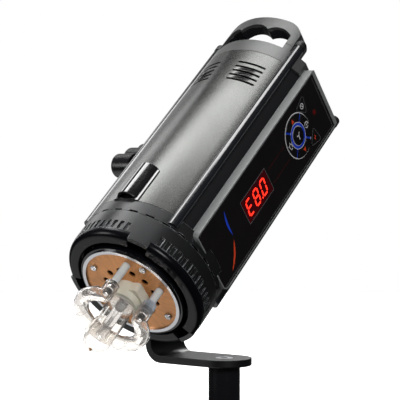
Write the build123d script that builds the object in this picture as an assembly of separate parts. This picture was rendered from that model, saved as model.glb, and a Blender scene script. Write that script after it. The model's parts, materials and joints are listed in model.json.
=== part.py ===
"""Monolight studio strobe on a tilting L bracket, one STEP file for each piece.

Frame: the origin is the mouth of the stand socket's bore, +Z is up, the head faces -Y
and its control panel is on +X. The head is drawn level, in its own coordinates: x across,
a ahead of the tilt pivot along the barrel, and u above the barrel's axis. HEAD then tips
it nose down about the pivot. All sizes are in millimetres and degrees.
"""
from build123d import *
import os
from math import atan2, cos, degrees, hypot, radians, sin, sqrt

# ---- fits ---------------------------------------------------------------------------
SEAM = 0.3            # gap at a seam or between two bodies
RUN = 0.06            # radial clearance of a shaft that turns or slides in its hole
SEAT = 0.05           # radial clearance of a piece that stays in its seat
KEY_GAP = 0.25        # gap around a key in the fascia

# ---- barrel -------------------------------------------------------------------------
BARREL_R = 62.0       # top cover, front collar and rear cap
COVER_T = 1.6
HOUSING_R = 60.0      # lower housing
HOUSING_T = 2.0
COVER_REAR, COVER_FRONT = -77.7, 123.7
ROD_R = 4.74
ROD_PITCH_R = 60.35   # radius of the four rods' centres
ROD_ANGLE = 46.0      # from straight up, and the same from straight down
ROD_FRONT, ROD_REAR, ROD_CAP = COVER_FRONT + 9.3, COVER_REAR - 24.2, 7.1
ROD_CHANNEL_T = 1.8   # wall of the channels that hold the two lower rods
LEDGE = 4.6           # depth of the ledges that carry the cover and the housing
LEDGE_T = 5.0

VENTS, VENT_W, VENT_PITCH = 5, 2.2, 5.75
VENT_FROM, VENT_TO, VENT_REAR = 9.0, 33.5, COVER_REAR + 15.7

# ---- front collar and bayonet ring --------------------------------------------------
NOTCH_A = COVER_FRONT + 11.9       # front edge of the collar
NOTCHES, NOTCH_ANGLE, NOTCH_DEPTH = 26, 7.2, 1.5
NECK_R, NECK_T, NECK_FRONT = 54.0, 4.0, NOTCH_A + 11.4
KNURL_REAR, KNURL_FRONT = NECK_FRONT + 0.6, NECK_FRONT + 9.3
KNURL_DEPTH, RIBS, RIB_ANGLE = 1.4, 64, 3.2
RING_FRONT, LIP_R, LIP_REAR = KNURL_FRONT + 7.2, 50.0, KNURL_FRONT + 0.7
LIP_ROUND = 5.0
FLANGE_R, FLANGE_T = 56.7, 2.0
LUG_GROOVE_R = 58.0
LUG_GAPS, LUG_GAP_ANGLE, LUG_GAP_FIRST = 3, 17.5, 31.5
RING_TURN = 20.0

# ---- lamp head ----------------------------------------------------------------------
DRUM_R, DRUM_T, DRUM_REAR = 46.9, 2.0, COVER_FRONT + 3.8
PLATE_R, PLATE_T, PLATE_A = 43.0, 1.6, RING_FRONT + 2.1
RIM_R, RIM_T, RIM_A = 44.75, 1.4, PLATE_A + 1.4
PLATE_HOLES, PLATE_HOLE_R, PLATE_HOLE_PITCH_R = 12, 2.9, 23.0
PLATE_SCREW_PITCH_R, PLATE_SCREW_R = 36.0, 3.0
HOLDER_X, HOLDER_U, HOLDER_T, HOLDER_COLLAR_R, HOLDER_COLLAR = 31.0, 21.0, 9.0, 11.0, 6.0
LAMP_R, LAMP_T, LAMP_TIP, LAMP_BASE_R = 11.5, 1.0, PLATE_A + 65.9, 9.5
CAPSULE_R, CAPSULE_FRONT = 4.6, PLATE_A + 53.4
TUBE_R, TUBE_T, TUBE_RING_R, TUBE_A = 6.0, 1.2, 28.0, PLATE_A + 34.4
TUBE_X, TUBE_U = 3.0, 3.0      # centre of the flash tube's ring
TUBE_LEGS = (17.0, 90.0)
POST_R, POST_FRONT = 3.3, PLATE_A + 22.4

# ---- release catch ------------------------------------------------------------------
CATCH_HUMP_R, CATCH_U, CATCH_T = 11.0, 57.5, 1.8
CATCH_REAR = COVER_FRONT - 39.2
CATCH_TRAVEL = 6.0
CATCH_STEM, CATCH_CARRIAGE = 6.0, 10.0
LOCK_PIN_R, LOCK_PIN_U, LOCK_PIN_ENTRY = 1.8, 57.9, 2.6
TRACK_W, TRACK_H, TRACK_END = 25.0, 1.0, 2.2
SPRING_R, SPRING_T = 1.7, 0.7

# ---- rear cap and handle ------------------------------------------------------------
CAP_REAR, CAP_T = COVER_REAR - 14.8, 3.5
CAP_FLAT, CAP_FLAT_HALF_U = 52.2, 33.0      # flat side of the cap behind the control box
PANEL_REAR, PANEL_T = CAP_REAR + 4.0, 2.5
HANDLE_REAR, HANDLE_BAR = CAP_REAR - 33.5, 10.5
HANDLE_W, HANDLE_OPEN_W = 81.0, 70.0
HANDLE_JOINT, HANDLE_SHELL, HANDLE_DEPTH = CAP_REAR - 6.8, 2.8, 11.5
HANDLE_CORNER, SCALLOP_R, SCALLOP_SIDE_R, SCALLOP_CUSP = 13.0, 20.8, 12.9, 14.6

# ---- control box --------------------------------------------------------------------
BOX_REAR, BOX_FRONT = COVER_REAR - 10.0, COVER_FRONT + 7.3
BOX_HALF_U, BOX_X, BOX_T = 30.0, 61.16, 2.0
WINDOW_HALF_U = 27.5
BRIDGE_T, BRIDGE_W = 2.6, 4.8         # strip across the front of the housing's window
FACE_T, FASCIA_T = 1.5, 1.2
FASCIA_REAR_RIM, FASCIA_RIM, FASCIA_FRONT_RIM = 4.5, 1.5, 1.2
DISPLAY_A, DISPLAY_U, DISPLAY_L, DISPLAY_W = 47.5, 0.9, 44.0, 22.2
PAD_A, PAD_U, PAD_R, PAD_RING_R, PAD_KEY_R = -31.9, 0.9, 19.2, 11.7, 8.0
PAD_SPOKE = 2.2
KEY_PROUD, KEY_TRAVEL, KEY_STEM_R = 0.8, 0.6, 1.5
TRIANGLE_KEYS = ((-51.5, 17.6, 135.0), (-51.0, -16.4, -135.0))
TRIANGLE_SIDE = 15.0
READY_A, READY_U, READY_R = -64.5, 0.9, 1.6
BOARD_X, BOARD_T = 54.0, 1.6

# ---- rear panel -------------------------------------------------------------------
FAN_SIZE, FAN_DEPTH, FAN_U, FAN_R, HUB_R, BLADES = 60.0, 15.0, 14.0, 27.0, 12.0, 7
INLET_U, INLET_W, INLET_H, INLET_D = -37.0, 27.0, 19.5, 22.0
ROCKER_X, ROCKER_U, ROCKER_W, ROCKER_H = -27.0, -29.0, 11.0, 17.0
ROCKER_LEAN = 8.0     # the rocker rests tipped this far to its on side
FUSE_X, FUSE_U, FUSE_R, FUSE_CAP_R = 28.0, -30.0, 5.0, 6.5
JACK_X, JACK_U, JACK_R = 41.0, -11.0, 5.5
SLAVE_X, SLAVE_U, SLAVE_R = 41.5, 10.0, 6.0

# ---- inside -------------------------------------------------------------------------
TRAY_U, TRAY_T, TRAY_HALF_X = -32.0, 1.5, 44.0
CAN_R, CAN_L, CAN_X = 17.0, 75.0, 18.0
CAN_REARS = (COVER_REAR + 21.7, COVER_REAR + 101.7)
TRAY_REAR, TRAY_RAIL = COVER_REAR + 20.7, 4.0
POWER_U, POWER_T, POWER_HALF_X = 12.0, 1.6, 38.0
POWER_REAR, POWER_FRONT = COVER_REAR + 15.7, COVER_FRONT - 19.7

# ---- tilt bracket -------------------------------------------------------------------
TILT = 40.0
PIVOT_UP = 172.0      # pivot above the foot's top face
BAR_T, BAR_W = 6.4, 48.0
ARM_IN = 63.0         # inner face of the arm, left of the barrel's axis
BEND_R = 10.0         # inside radius of the bend
HUB_R_TILT, HUB_FACE, WASHER_T, WASHER_R = 22.0, 61.7, 1.25, 20.0
BOLT_R, BOLT_END, BOLT_HEAD_R, BOLT_HEAD_T = 5.0, 98.0, 8.5, 6.0
PAD_DISC_R, PAD_DISC_IN = 15.0, 54.0
KNOB_HUB_R, KNOB_HUB_T, KNOB_W, KNOB_REACH = 14.0, 17.0, 20.0, 18.0
KNOB_LOBE_R, KNOB_ANGLE = 11.0, 15.0

# ---- stand socket -------------------------------------------------------------------
SOCKET_R, SPIGOT_BORE_R, SOCKET_L, SPIGOT_DEPTH = 13.8, 8.1, 60.0, 46.0
FOOT_SCREW_R, FOOT_HEAD_R, FOOT_HEAD_T, FOOT_SCREW_L = 4.0, 8.2, 3.0, 14.0
LOCK_Z, LOCK_R, LOCK_KNOB_R, LOCK_KNOB_T, LOCK_NECK = 15.5, 3.0, 9.5, 12.0, 6.0

# ---- worked out from the sizes above --------------------------------------------------
FOOT_TOP = SOCKET_L + BAR_T
PIVOT_Z = FOOT_TOP + PIVOT_UP
HEAD = Pos(0, 0, PIVOT_Z) * Rot(TILT, 0, 0)
COVER_IN = BARREL_R - COVER_T
HOUSING_IN = HOUSING_R - HOUSING_T
FACE_IN = BOX_X - FASCIA_T - FACE_T
FACE_OUT = BOX_X - FASCIA_T
ARM_OUT = ARM_IN + BAR_T
BOX_MID_A = (BOX_REAR + BOX_FRONT) / 2
BOX_L = BOX_FRONT - BOX_REAR
HANDLE_BAR_FRONT = HANDLE_REAR + HANDLE_BAR

# ---- drawing helpers, all in head coordinates ---------------------------------------


def save(name, shape):
    """Writes one piece to its own file."""
    export_step(shape, f"parts/{name}.step")


def rod(r, a0, a1, x=0.0, u=0.0):
    """A cylinder along the barrel, from a0 to a1."""
    return Pos(x, -(a0 + a1) / 2, u) * Rot(90, 0, 0) * Cylinder(r, a1 - a0)


def pipe(r_out, r_in, a0, a1, x=0.0, u=0.0):
    """A tube along the barrel."""
    return rod(r_out, a0, a1, x, u) - rod(r_in, a0 - 1, a1 + 1, x, u)


def side_rod(r, x0, x1, a=0.0, u=0.0):
    """A cylinder across the barrel, from x0 to x1."""
    return Pos((x0 + x1) / 2, -a, u) * Rot(0, 90, 0) * Cylinder(r, abs(x1 - x0))


def block(x0, x1, a0, a1, u0, u1):
    """A box between two values on each axis."""
    middle = Pos((x0 + x1) / 2, -(a0 + a1) / 2, (u0 + u1) / 2)
    return middle * Box(x1 - x0, a1 - a0, u1 - u0)


def across(a):
    """The plane square to the barrel at a, with x and u as its axes."""
    return Plane(origin=(0, -a, 0), x_dir=(1, 0, 0), z_dir=(0, -1, 0))


def facing(x):
    """The plane of the control panel at x, with a and u as its axes."""
    return Plane(origin=(x, 0, 0), x_dir=(0, -1, 0), z_dir=(-1, 0, 0))


def above(u):
    """The level plane at u, with a as its first axis and x as its second."""
    return Plane(origin=(0, 0, u), x_dir=(0, -1, 0), z_dir=(0, 0, 1))


def polar(r, angle):
    """A point in x and u, at an angle from straight up towards +x."""
    return r * sin(radians(angle)), r * cos(radians(angle))


def wedge(first, last, a0, a1, reach=90.0):
    """A sector of up to 180 degrees about the barrel's axis."""
    steps = max(2, int((last - first) / 30) + 1)
    rim = [polar(reach, last - (last - first) * i / steps) for i in range(steps + 1)]
    return extrude(across(a0) * Polygon((0, 0), *rim, align=None), a1 - a0)


def all_rods(r, a0, a1):
    """Four cylinders on the rods' centres."""
    places = [polar(ROD_PITCH_R, turn + side * ROD_ANGLE) for turn in (0, 180) for side in (1, -1)]
    return [rod(r, a0, a1, x, u) for x, u in places]


def cut_all(shape, tools):
    """The shape with every tool taken away."""
    for tool in tools:
        shape = shape - tool
    return shape


def vents(turn, r_in, r_out):
    """Two banks of slots, either side of the angle turn."""
    slots = []
    for i in range(VENTS):
        a0 = VENT_REAR + i * VENT_PITCH
        band = pipe(r_out, r_in, a0, a0 + VENT_W)
        for first, last in ((VENT_FROM, VENT_TO), (-VENT_TO, -VENT_FROM)):
            slots.append(band & wedge(turn + first, turn + last, a0 - 1, a0 + VENT_W + 1))
    return slots


# ---- shells of the barrel -------------------------------------------------------------


def ledge(a0, a1):
    """The stepped rim inside the seams: higher under the top cover than under the housing."""
    low = pipe(HOUSING_IN, HOUSING_IN - LEDGE_T, a0, a1)
    high = pipe(COVER_IN, HOUSING_IN - LEDGE_T, a0, a1) & wedge(-ROD_ANGLE, ROD_ANGLE, a0 - 1, a1 + 1)
    return cut_all(low + high, all_rods(ROD_R + ROD_CHANNEL_T + SEAM, a0 - 5, a1 + 5))


def top_cover():
    """The arched sheet over the top, with its vents, catch slot and spring tab."""
    a0, a1 = COVER_REAR + SEAM, COVER_FRONT - SEAM
    sheet = pipe(BARREL_R, COVER_IN, a0, a1) & wedge(-ROD_ANGLE, ROD_ANGLE, a0 - 1, a1 + 1)
    sheet = cut_all(sheet, all_rods(ROD_R + SEAT, a0 - 1, a1 + 1))
    sheet = cut_all(sheet, vents(0, COVER_IN - 1, BARREL_R + 1))
    half = CATCH_STEM / 2 + SEAM
    sheet = sheet - block(-half, half, STEM_REAR - CATCH_TRAVEL - 1, STEM_FRONT + 0.5, 55, 70)
    tab_u = sqrt(COVER_IN**2 - (CATCH_CARRIAGE / 2) ** 2)
    half = CATCH_CARRIAGE / 2
    tab = block(-half, half, SPRING_REAR - 2, SPRING_REAR, LOCK_PIN_U - 3.5, tab_u + 0.6)
    return sheet + tab


def lower_housing():
    """The lower three quarters of the barrel, with the pivot pad and the control window."""
    a0, a1 = COVER_REAR + SEAM, COVER_FRONT - SEAM
    shell = pipe(HOUSING_R, HOUSING_IN, a0, a1) - wedge(-ROD_ANGLE, ROD_ANGLE, a0 - 1, a1 + 1)
    for channel in all_rods(ROD_R + ROD_CHANNEL_T, a0, a1)[2:]:
        shell = shell + (channel & rod(HOUSING_R, a0, a1))
    shell = cut_all(shell, all_rods(ROD_R + SEAT, a0 - 1, a1 + 1))
    shell = cut_all(shell, vents(180, HOUSING_IN - 1, HOUSING_R + 1))
    shell = shell - block(40, 70, COVER_REAR - 1, COVER_FRONT + 1, -WINDOW_HALF_U, WINDOW_HALF_U)
    bridge = pipe(HOUSING_IN, HOUSING_IN - BRIDGE_T, COVER_FRONT - LEDGE - BRIDGE_W, COVER_FRONT - LEDGE - SEAM)
    shell = shell + (bridge & block(40, 70, 0, COVER_FRONT, -WINDOW_HALF_U - 5, WINDOW_HALF_U + 5))
    pad = side_rod(PAD_DISC_R, -HOUSING_R + 1, -PAD_DISC_IN) & rod(HOUSING_IN + 1, -40, 40)
    return shell + pad - side_rod(BOLT_R + SEAT, -70, -40)


def front_collar():
    """The casting behind the bayonet ring: band, bulkhead, ledge and neck."""
    band = pipe(BARREL_R, HOUSING_IN, COVER_FRONT, NOTCH_A)
    wall = rod(HOUSING_IN + 0.5, COVER_FRONT - LEDGE, COVER_FRONT) - rod(20, COVER_FRONT - 20, NOTCH_A)
    wall = cut_all(wall & rod(HOUSING_IN, COVER_FRONT - 20, NOTCH_A), all_rods(
        ROD_R + ROD_CHANNEL_T + SEAM, COVER_FRONT - 20, COVER_FRONT))
    neck = pipe(NECK_R, NECK_R - NECK_T, COVER_FRONT, NECK_FRONT)
    seat = wedge(-7, 7, COVER_FRONT - LEDGE, NOTCH_A) & pipe(
        COVER_IN - 0.1, NECK_R - 1, COVER_FRONT - 20, NOTCH_A + 5)
    web = pipe(HOUSING_IN + 0.5, NECK_R - 1, COVER_FRONT, COVER_FRONT + 3)
    body = band + ledge(COVER_FRONT - LEDGE, COVER_FRONT) + wall + web + neck + seat
    body = cut_all(body, all_rods(ROD_R + SEAT, COVER_FRONT - 20, ROD_FRONT))
    body = body - rod(LOCK_PIN_R + RUN, COVER_FRONT - 20, NOTCH_A + 20, 0, LOCK_PIN_U)
    for i in range(NOTCHES):
        middle = 360 / NOTCHES * i
        cut = pipe(BARREL_R + 1, BARREL_R - 2, NOTCH_A - NOTCH_DEPTH, NOTCH_A + 1)
        half = NOTCH_ANGLE / 2
        body = body - (cut & wedge(middle - half, middle + half, NOTCH_A - 10, NOTCH_A + 5))
    for i in range(8):
        x, u = polar(34, 22.5 + 45 * i)
        body = body - rod(6, COVER_FRONT - 20, COVER_FRONT + 5, x, u)
    return cut_all(body, drum_screw_holes(1.5))


def lug_gap(i, margin=0.0):
    """The sector of one lug gap, widened by a margin at each side."""
    middle = LUG_GAP_FIRST + 360 / LUG_GAPS * i
    half = LUG_GAP_ANGLE / 2 + margin
    return middle - half, middle + half


def bayonet_ring():
    """The turning ring: plain band, ribbed grip and the three smooth blocks."""
    a0 = NOTCH_A + SEAM
    body = pipe(BARREL_R, NECK_R + RUN, a0, LIP_REAR)
    body = body - rod(FLANGE_R + SEAM, NECK_FRONT - SEAM, LIP_REAR + 1)
    body = body - rod(LUG_GROOVE_R, NECK_FRONT + FLANGE_T + SEAM, LIP_REAR + 1)
    groove = pipe(BARREL_R + 1, BARREL_R - KNURL_DEPTH, KNURL_REAR, KNURL_FRONT)
    ribs = 360 / RIBS
    for i in range(RIBS):
        middle = LUG_GAP_FIRST + ribs * (i + 0.5)
        inside = any(lo - 1 < (middle - lo) % 360 + lo < hi + 1 for lo, hi in map(lug_gap, range(3)))
        if not inside:
            lo, hi = middle - RIB_ANGLE / 2, middle + RIB_ANGLE / 2
            body = body - (groove & wedge(lo, hi, KNURL_REAR - 5, KNURL_FRONT + 5))
    for i in range(LUG_GAPS):
        lo, hi = lug_gap(i, -0.4)
        tongue = pipe(BARREL_R, LUG_GROOVE_R, LIP_REAR - 1, RING_FRONT - 0.5)
        body = body + (tongue & wedge(lo, hi, KNURL_REAR, RING_FRONT + 5))
    # The lock pin rides in an arc groove, so its two ends stop the ring.
    wide, deep = LOCK_PIN_R + SEAM, NOTCH_A + LOCK_PIN_ENTRY + 1
    arc = pipe(LOCK_PIN_U + wide, LOCK_PIN_U - wide, a0 - 1, deep) & wedge(0, RING_TURN, a0 - 2, deep + 1)
    ends = [rod(wide, a0 - 1, deep, *polar(LOCK_PIN_U, turn)) for turn in (0, RING_TURN)]
    return cut_all(body, [arc, *ends])


def ring_lip():
    """The rounded black front of the ring, broken by three lug gaps."""
    ring = pipe(BARREL_R - 0.2, LIP_R, LIP_REAR, RING_FRONT)
    edges = ring.edges().filter_by(GeomType.CIRCLE).group_by(Axis.Y)[0]
    outer = [e for e in edges if e.radius > LIP_R + 5]
    ring = fillet(outer, LIP_ROUND)
    inner = [e for e in ring.edges().filter_by(GeomType.CIRCLE) if abs(e.radius - LIP_R) < 0.1]
    ring = fillet([e for e in inner if e.center().Y < -RING_FRONT + 0.1], 1.5)
    for i in range(LUG_GAPS):
        ring = ring - wedge(*lug_gap(i), LIP_REAR - 5, RING_FRONT + 5)
    return ring


def drum_screw_holes(r, a0=None, a1=None):
    """Four cylinders on the screw circle of the drum's flange."""
    start, end = (NECK_FRONT - 12, NECK_FRONT + 10) if a0 is None else (a0, a1)
    places = [polar(NECK_R - NECK_T / 2, 90 * i + 45) for i in range(4)]
    return [rod(r, start, end, x, u) for x, u in places]


def lamp_drum():
    """The black drum that carries the plate, with the flange that keeps the ring on."""
    tube = pipe(DRUM_R, DRUM_R - DRUM_T, DRUM_REAR, RIM_A - RIM_T)
    flange = pipe(FLANGE_R, DRUM_R - 1, NECK_FRONT, NECK_FRONT + FLANGE_T)
    shelf = pipe(DRUM_R - 1, PLATE_R - 3, PLATE_A - PLATE_T - 2.5, PLATE_A - PLATE_T)
    body = tube + flange + shelf
    for x, u in plate_screws_at():
        boss = pipe(5, 1.2, PLATE_A - PLATE_T - 9, PLATE_A - PLATE_T, x, u)
        body = body + (boss & rod(DRUM_R, DRUM_REAR, PLATE_A))
        body = body - rod(1.2, DRUM_REAR, PLATE_A + 5, x, u)
    return cut_all(body, drum_screw_holes(1.7))


def plate_screws_at():
    """Centres of the four plate screws."""
    return [polar(PLATE_SCREW_PITCH_R, 45 + 90 * i) for i in range(4)]


def leg_at(i):
    """Centre of one leg of the flash tube."""
    x, u = polar(TUBE_RING_R, TUBE_LEGS[i])
    return TUBE_X + x, TUBE_U + u


def reflector_plate():
    """The copper-coloured plate with its ring of vents and its fixings."""
    plate = rod(PLATE_R, PLATE_A - PLATE_T, PLATE_A)
    for i in range(PLATE_HOLES):
        x, u = polar(PLATE_HOLE_PITCH_R, 360 / PLATE_HOLES * i)
        if min(hypot(x - leg_at(k)[0], u - leg_at(k)[1]) for k in (0, 1)) > POST_R + 3.5:
            plate = plate - rod(PLATE_HOLE_R, PLATE_A - 5, PLATE_A + 5, x, u)
    plate = cut_all(plate, [rod(1.5, PLATE_A - 5, PLATE_A + 5, x, u) for x, u in plate_screws_at()])
    return plate - rod(5.0, PLATE_A - 5, PLATE_A + 5)


def screw(r, head_r, head_t, length, a, x, u):
    """A round-head screw whose head sits on the face at a and whose shank goes back."""
    head = rod(head_r, a, a + head_t, x, u)
    head = fillet(head.edges().filter_by(GeomType.CIRCLE).group_by(Axis.Y)[0], head_t * 0.45)
    slot = block(x - head_r, x + head_r, a + head_t - 0.5, a + head_t + 1, u - 0.35, u + 0.35)
    cross = block(x - 0.35, x + 0.35, a + head_t - 0.5, a + head_t + 1, u - head_r, u + head_r)
    return head + rod(r, a - length, a, x, u) - slot - cross


def lamp_pieces():
    """The lamp holder, the modelling lamp and the flash tube."""
    x2, u2 = HOLDER_X / 2, HOLDER_U / 2
    holder = block(-x2, x2, PLATE_A, PLATE_A + HOLDER_T, -u2, u2)
    holder = fillet(holder.edges().filter_by(Axis.Y), 3)
    holder = holder + rod(HOLDER_COLLAR_R + 2, PLATE_A, PLATE_A + HOLDER_T + HOLDER_COLLAR)
    holder = holder - rod(LAMP_BASE_R + SEAT, PLATE_A + 3, PLATE_A + 40)
    screw_x = HOLDER_X / 2 - 2.9
    holder = cut_all(holder, [
        rod(1.2, PLATE_A + 2, PLATE_A + 30, s * screw_x, -s * (u2 - 3.2)) for s in (1, -1)])
    top = PLATE_A + HOLDER_T
    seats = [rod(2.3 + SEAT, top, top + 20, s * screw_x, -s * (u2 - 3.2)) for s in (1, -1)]
    save("lamp_holder", HEAD * cut_all(holder, seats))
    save("holder_screws", HEAD * Compound(children=[
        screw(1.15, 2.3, 1.4, 5.5, top, s * screw_x, -s * (u2 - 3.2)) for s in (1, -1)]))
    base_front = PLATE_A + HOLDER_T + HOLDER_COLLAR + 2
    base = rod(LAMP_BASE_R, PLATE_A + 3, base_front)
    save("lamp_base", HEAD * (base - rod(3, base_front - 3, base_front + 1)))
    glass = rod(LAMP_R, base_front, LAMP_TIP - LAMP_R) + Pos(0, -(LAMP_TIP - LAMP_R), 0) * Sphere(LAMP_R)
    inner = LAMP_R - LAMP_T
    hollow = rod(inner, base_front - 1, LAMP_TIP - LAMP_R) + Pos(0, -(LAMP_TIP - LAMP_R), 0) * Sphere(inner)
    save("lamp_glass", HEAD * (glass - hollow))
    end = CAPSULE_FRONT - CAPSULE_R
    capsule = rod(CAPSULE_R, base_front, end) + Pos(0, -end, 0) * Sphere(CAPSULE_R)
    capsule = capsule + rod(2.9, base_front - 3, base_front)
    save("lamp_capsule", HEAD * capsule)
    pins = [rod(1.2, POST_FRONT - 6, POST_FRONT + 2, *leg_at(i)) for i in (0, 1)]
    tube = loop(TUBE_R, POST_FRONT) - loop(TUBE_R - TUBE_T, POST_FRONT + 2)
    save("flash_tube", HEAD * cut_all(tube, pins))
    tips = [rod(3.0, POST_FRONT + 2, POST_FRONT + 11, *leg_at(i)) for i in (0, 1)]
    save("tube_electrodes", HEAD * Compound(children=[p + t for p, t in zip(pins, tips)]))
    posts = [rod(POST_R, PLATE_A, POST_FRONT, *leg_at(i)) - pins[i] for i in (0, 1)]
    save("tube_posts", HEAD * Compound(children=posts))


def loop(r, leg_start):
    """The flash tube's outline at radius r: an arc of a ring with two legs."""
    ring = Pos(0, -TUBE_A, 0) * Rot(90, 0, 0) * Torus(TUBE_RING_R, r)
    gap = wedge(*TUBE_LEGS, TUBE_A - 20, TUBE_A + 20)
    body = Pos(TUBE_X, 0, TUBE_U) * (ring - gap)
    for i in (0, 1):
        x, u = leg_at(i)
        body = body + rod(r, leg_start, TUBE_A, x, u) + Pos(x, -TUBE_A, u) * Sphere(r)
    return body


# ---- release catch --------------------------------------------------------------------
STEM_REAR, STEM_FRONT = CATCH_REAR + 12.0, CATCH_REAR + 18.0
CARRIAGE_REAR, CARRIAGE_FRONT = STEM_REAR - 1.0, STEM_FRONT + 4.0
SPRING_REAR = CARRIAGE_REAR - 16.0


def catch_pieces():
    """The sliding hump with its lock pin, the track that frames it and its spring."""
    front = COVER_FRONT - SEAM - TRACK_END - SEAM
    hump = rod(CATCH_HUMP_R, CATCH_REAR, front, 0, CATCH_U) - rod(
        CATCH_HUMP_R - CATCH_T, CATCH_REAR + 2, front + 1, 0, CATCH_U)
    hump = hump - rod(BARREL_R + SEAM, CATCH_REAR - 5, front + 5)
    half = CATCH_STEM / 2
    stem = block(-half, half, STEM_REAR, STEM_FRONT, LOCK_PIN_U, CATCH_U + CATCH_HUMP_R - 1)
    low = sqrt(COVER_IN**2 - (CATCH_CARRIAGE / 2) ** 2) - SEAM
    carriage = block(-CATCH_CARRIAGE / 2, CATCH_CARRIAGE / 2, CARRIAGE_REAR, CARRIAGE_FRONT,
                     LOCK_PIN_U - 3.5, low)
    pin = rod(LOCK_PIN_R, CARRIAGE_FRONT - 1, NOTCH_A + LOCK_PIN_ENTRY, 0, LOCK_PIN_U)
    nub = rod(1.0, CARRIAGE_REAR - 3, CARRIAGE_REAR, 0, LOCK_PIN_U - 1.2)
    save("release_catch", HEAD * (hump + stem + carriage + pin + nub))
    outer = TRACK_W / 2
    inner = CATCH_HUMP_R * 0.93 + SEAM
    sleeve = pipe(BARREL_R + TRACK_H, BARREL_R, CATCH_REAR + 2, COVER_FRONT - SEAM)
    track = sleeve & block(-outer, outer, CATCH_REAR + 2, COVER_FRONT - SEAM, 40, 80)
    save("catch_track", HEAD * (track - block(-inner, inner, CATCH_REAR - 20, front + SEAM, 40, 80)))
    a0, a1 = SPRING_REAR, CARRIAGE_REAR
    save("catch_spring", HEAD * pipe(SPRING_R, SPRING_R - SPRING_T + 0.1, a0, a1, 0, LOCK_PIN_U - 1.2))


# ---- rear cap and handle --------------------------------------------------------------


def handle_outline():
    """The handle from above, with its finger scallops, as a tall block."""
    half, inner = HANDLE_W / 2, HANDLE_OPEN_W / 2
    body = block(-half, half, HANDLE_REAR, PANEL_REAR + 0.1, 0, 80)
    rear = body.edges().filter_by(Axis.Z).group_by(Axis.Y)[-1]
    body = fillet(rear, HANDLE_CORNER)
    cusp = HANDLE_BAR_FRONT + 5.5
    body = body - block(-inner, inner, cusp, 0, -5, 85)
    middle = HANDLE_BAR_FRONT + SCALLOP_R
    side_x = (SCALLOP_CUSP + inner) / 2
    side = HANDLE_BAR_FRONT + SCALLOP_SIDE_R + 0.8
    tools = [Pos(0, -middle, 40) * Cylinder(SCALLOP_R, 100)]
    tools += [Pos(s * side_x, -side, 40) * Cylinder(SCALLOP_SIDE_R, 100) for s in (1, -1)]
    window = block(-inner, inner, HANDLE_BAR_FRONT - 1, 0, -5, 85)
    return cut_all(body, [tool & window for tool in tools])


def rear_pieces():
    """The rear cap, the handle's grey shell and its black grip."""
    wall = pipe(BARREL_R, BARREL_R - CAP_T, CAP_REAR, COVER_REAR)
    step = pipe(BARREL_R - 1, HOUSING_IN - LEDGE_T, PANEL_REAR + PANEL_T, COVER_REAR)
    cap = wall + step + ledge(COVER_REAR, COVER_REAR + LEDGE)
    cap = cap - block(CAP_FLAT, 70, -130, -60, -CAP_FLAT_HALF_U - 3, CAP_FLAT_HALF_U + 3)
    flat = block(CAP_FLAT - CAP_T, CAP_FLAT, CAP_REAR, COVER_REAR, -CAP_FLAT_HALF_U, CAP_FLAT_HALF_U)
    cap = cap + (flat & rod(BARREL_R, -130, 0))
    outline = handle_outline()
    thick = pipe(BARREL_R, BARREL_R - HANDLE_DEPTH, HANDLE_REAR - 1, PANEL_REAR)
    root = outline & thick & block(-60, 60, HANDLE_JOINT + SEAM, PANEL_REAR, 0, 80)
    cap = cut_all(cap + root, all_rods(ROD_R + SEAT, -130, 0))
    save("rear_cap", HEAD * cap)
    loop_body = outline & block(-60, 60, HANDLE_REAR - 1, HANDLE_JOINT, 0, 80)
    arm = HANDLE_OPEN_W / 2 - 1.0
    arms = block(-60, -arm, -130, -80, 0, 80) + block(arm, 60, -130, -80, 0, 80)
    skin = pipe(BARREL_R, BARREL_R - HANDLE_SHELL, HANDLE_REAR - 1, PANEL_REAR)
    shell = loop_body & (skin + (thick & arms))
    # A dowel at each joint ties the handle to the cap.
    dowel_x, dowel_u = polar(BARREL_R - HANDLE_DEPTH / 2, degrees(atan2(HANDLE_W / 2 - 3, 42)))
    dowels = [rod(1.2, HANDLE_JOINT - 1, HANDLE_JOINT + SEAM, s * dowel_x, dowel_u) for s in (1, -1)]
    shell = cut_all(shell + dowels[0] + dowels[1], all_rods(ROD_R + 0.4 + SEAM, -130, 0))
    save("handle_shell", HEAD * shell)
    core = pipe(BARREL_R - HANDLE_SHELL, BARREL_R - HANDLE_DEPTH, HANDLE_REAR - 1, PANEL_REAR)
    save("handle_grip", HEAD * (loop_body & core & block(-arm, arm, -130, -80, 0, 80)))


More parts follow.
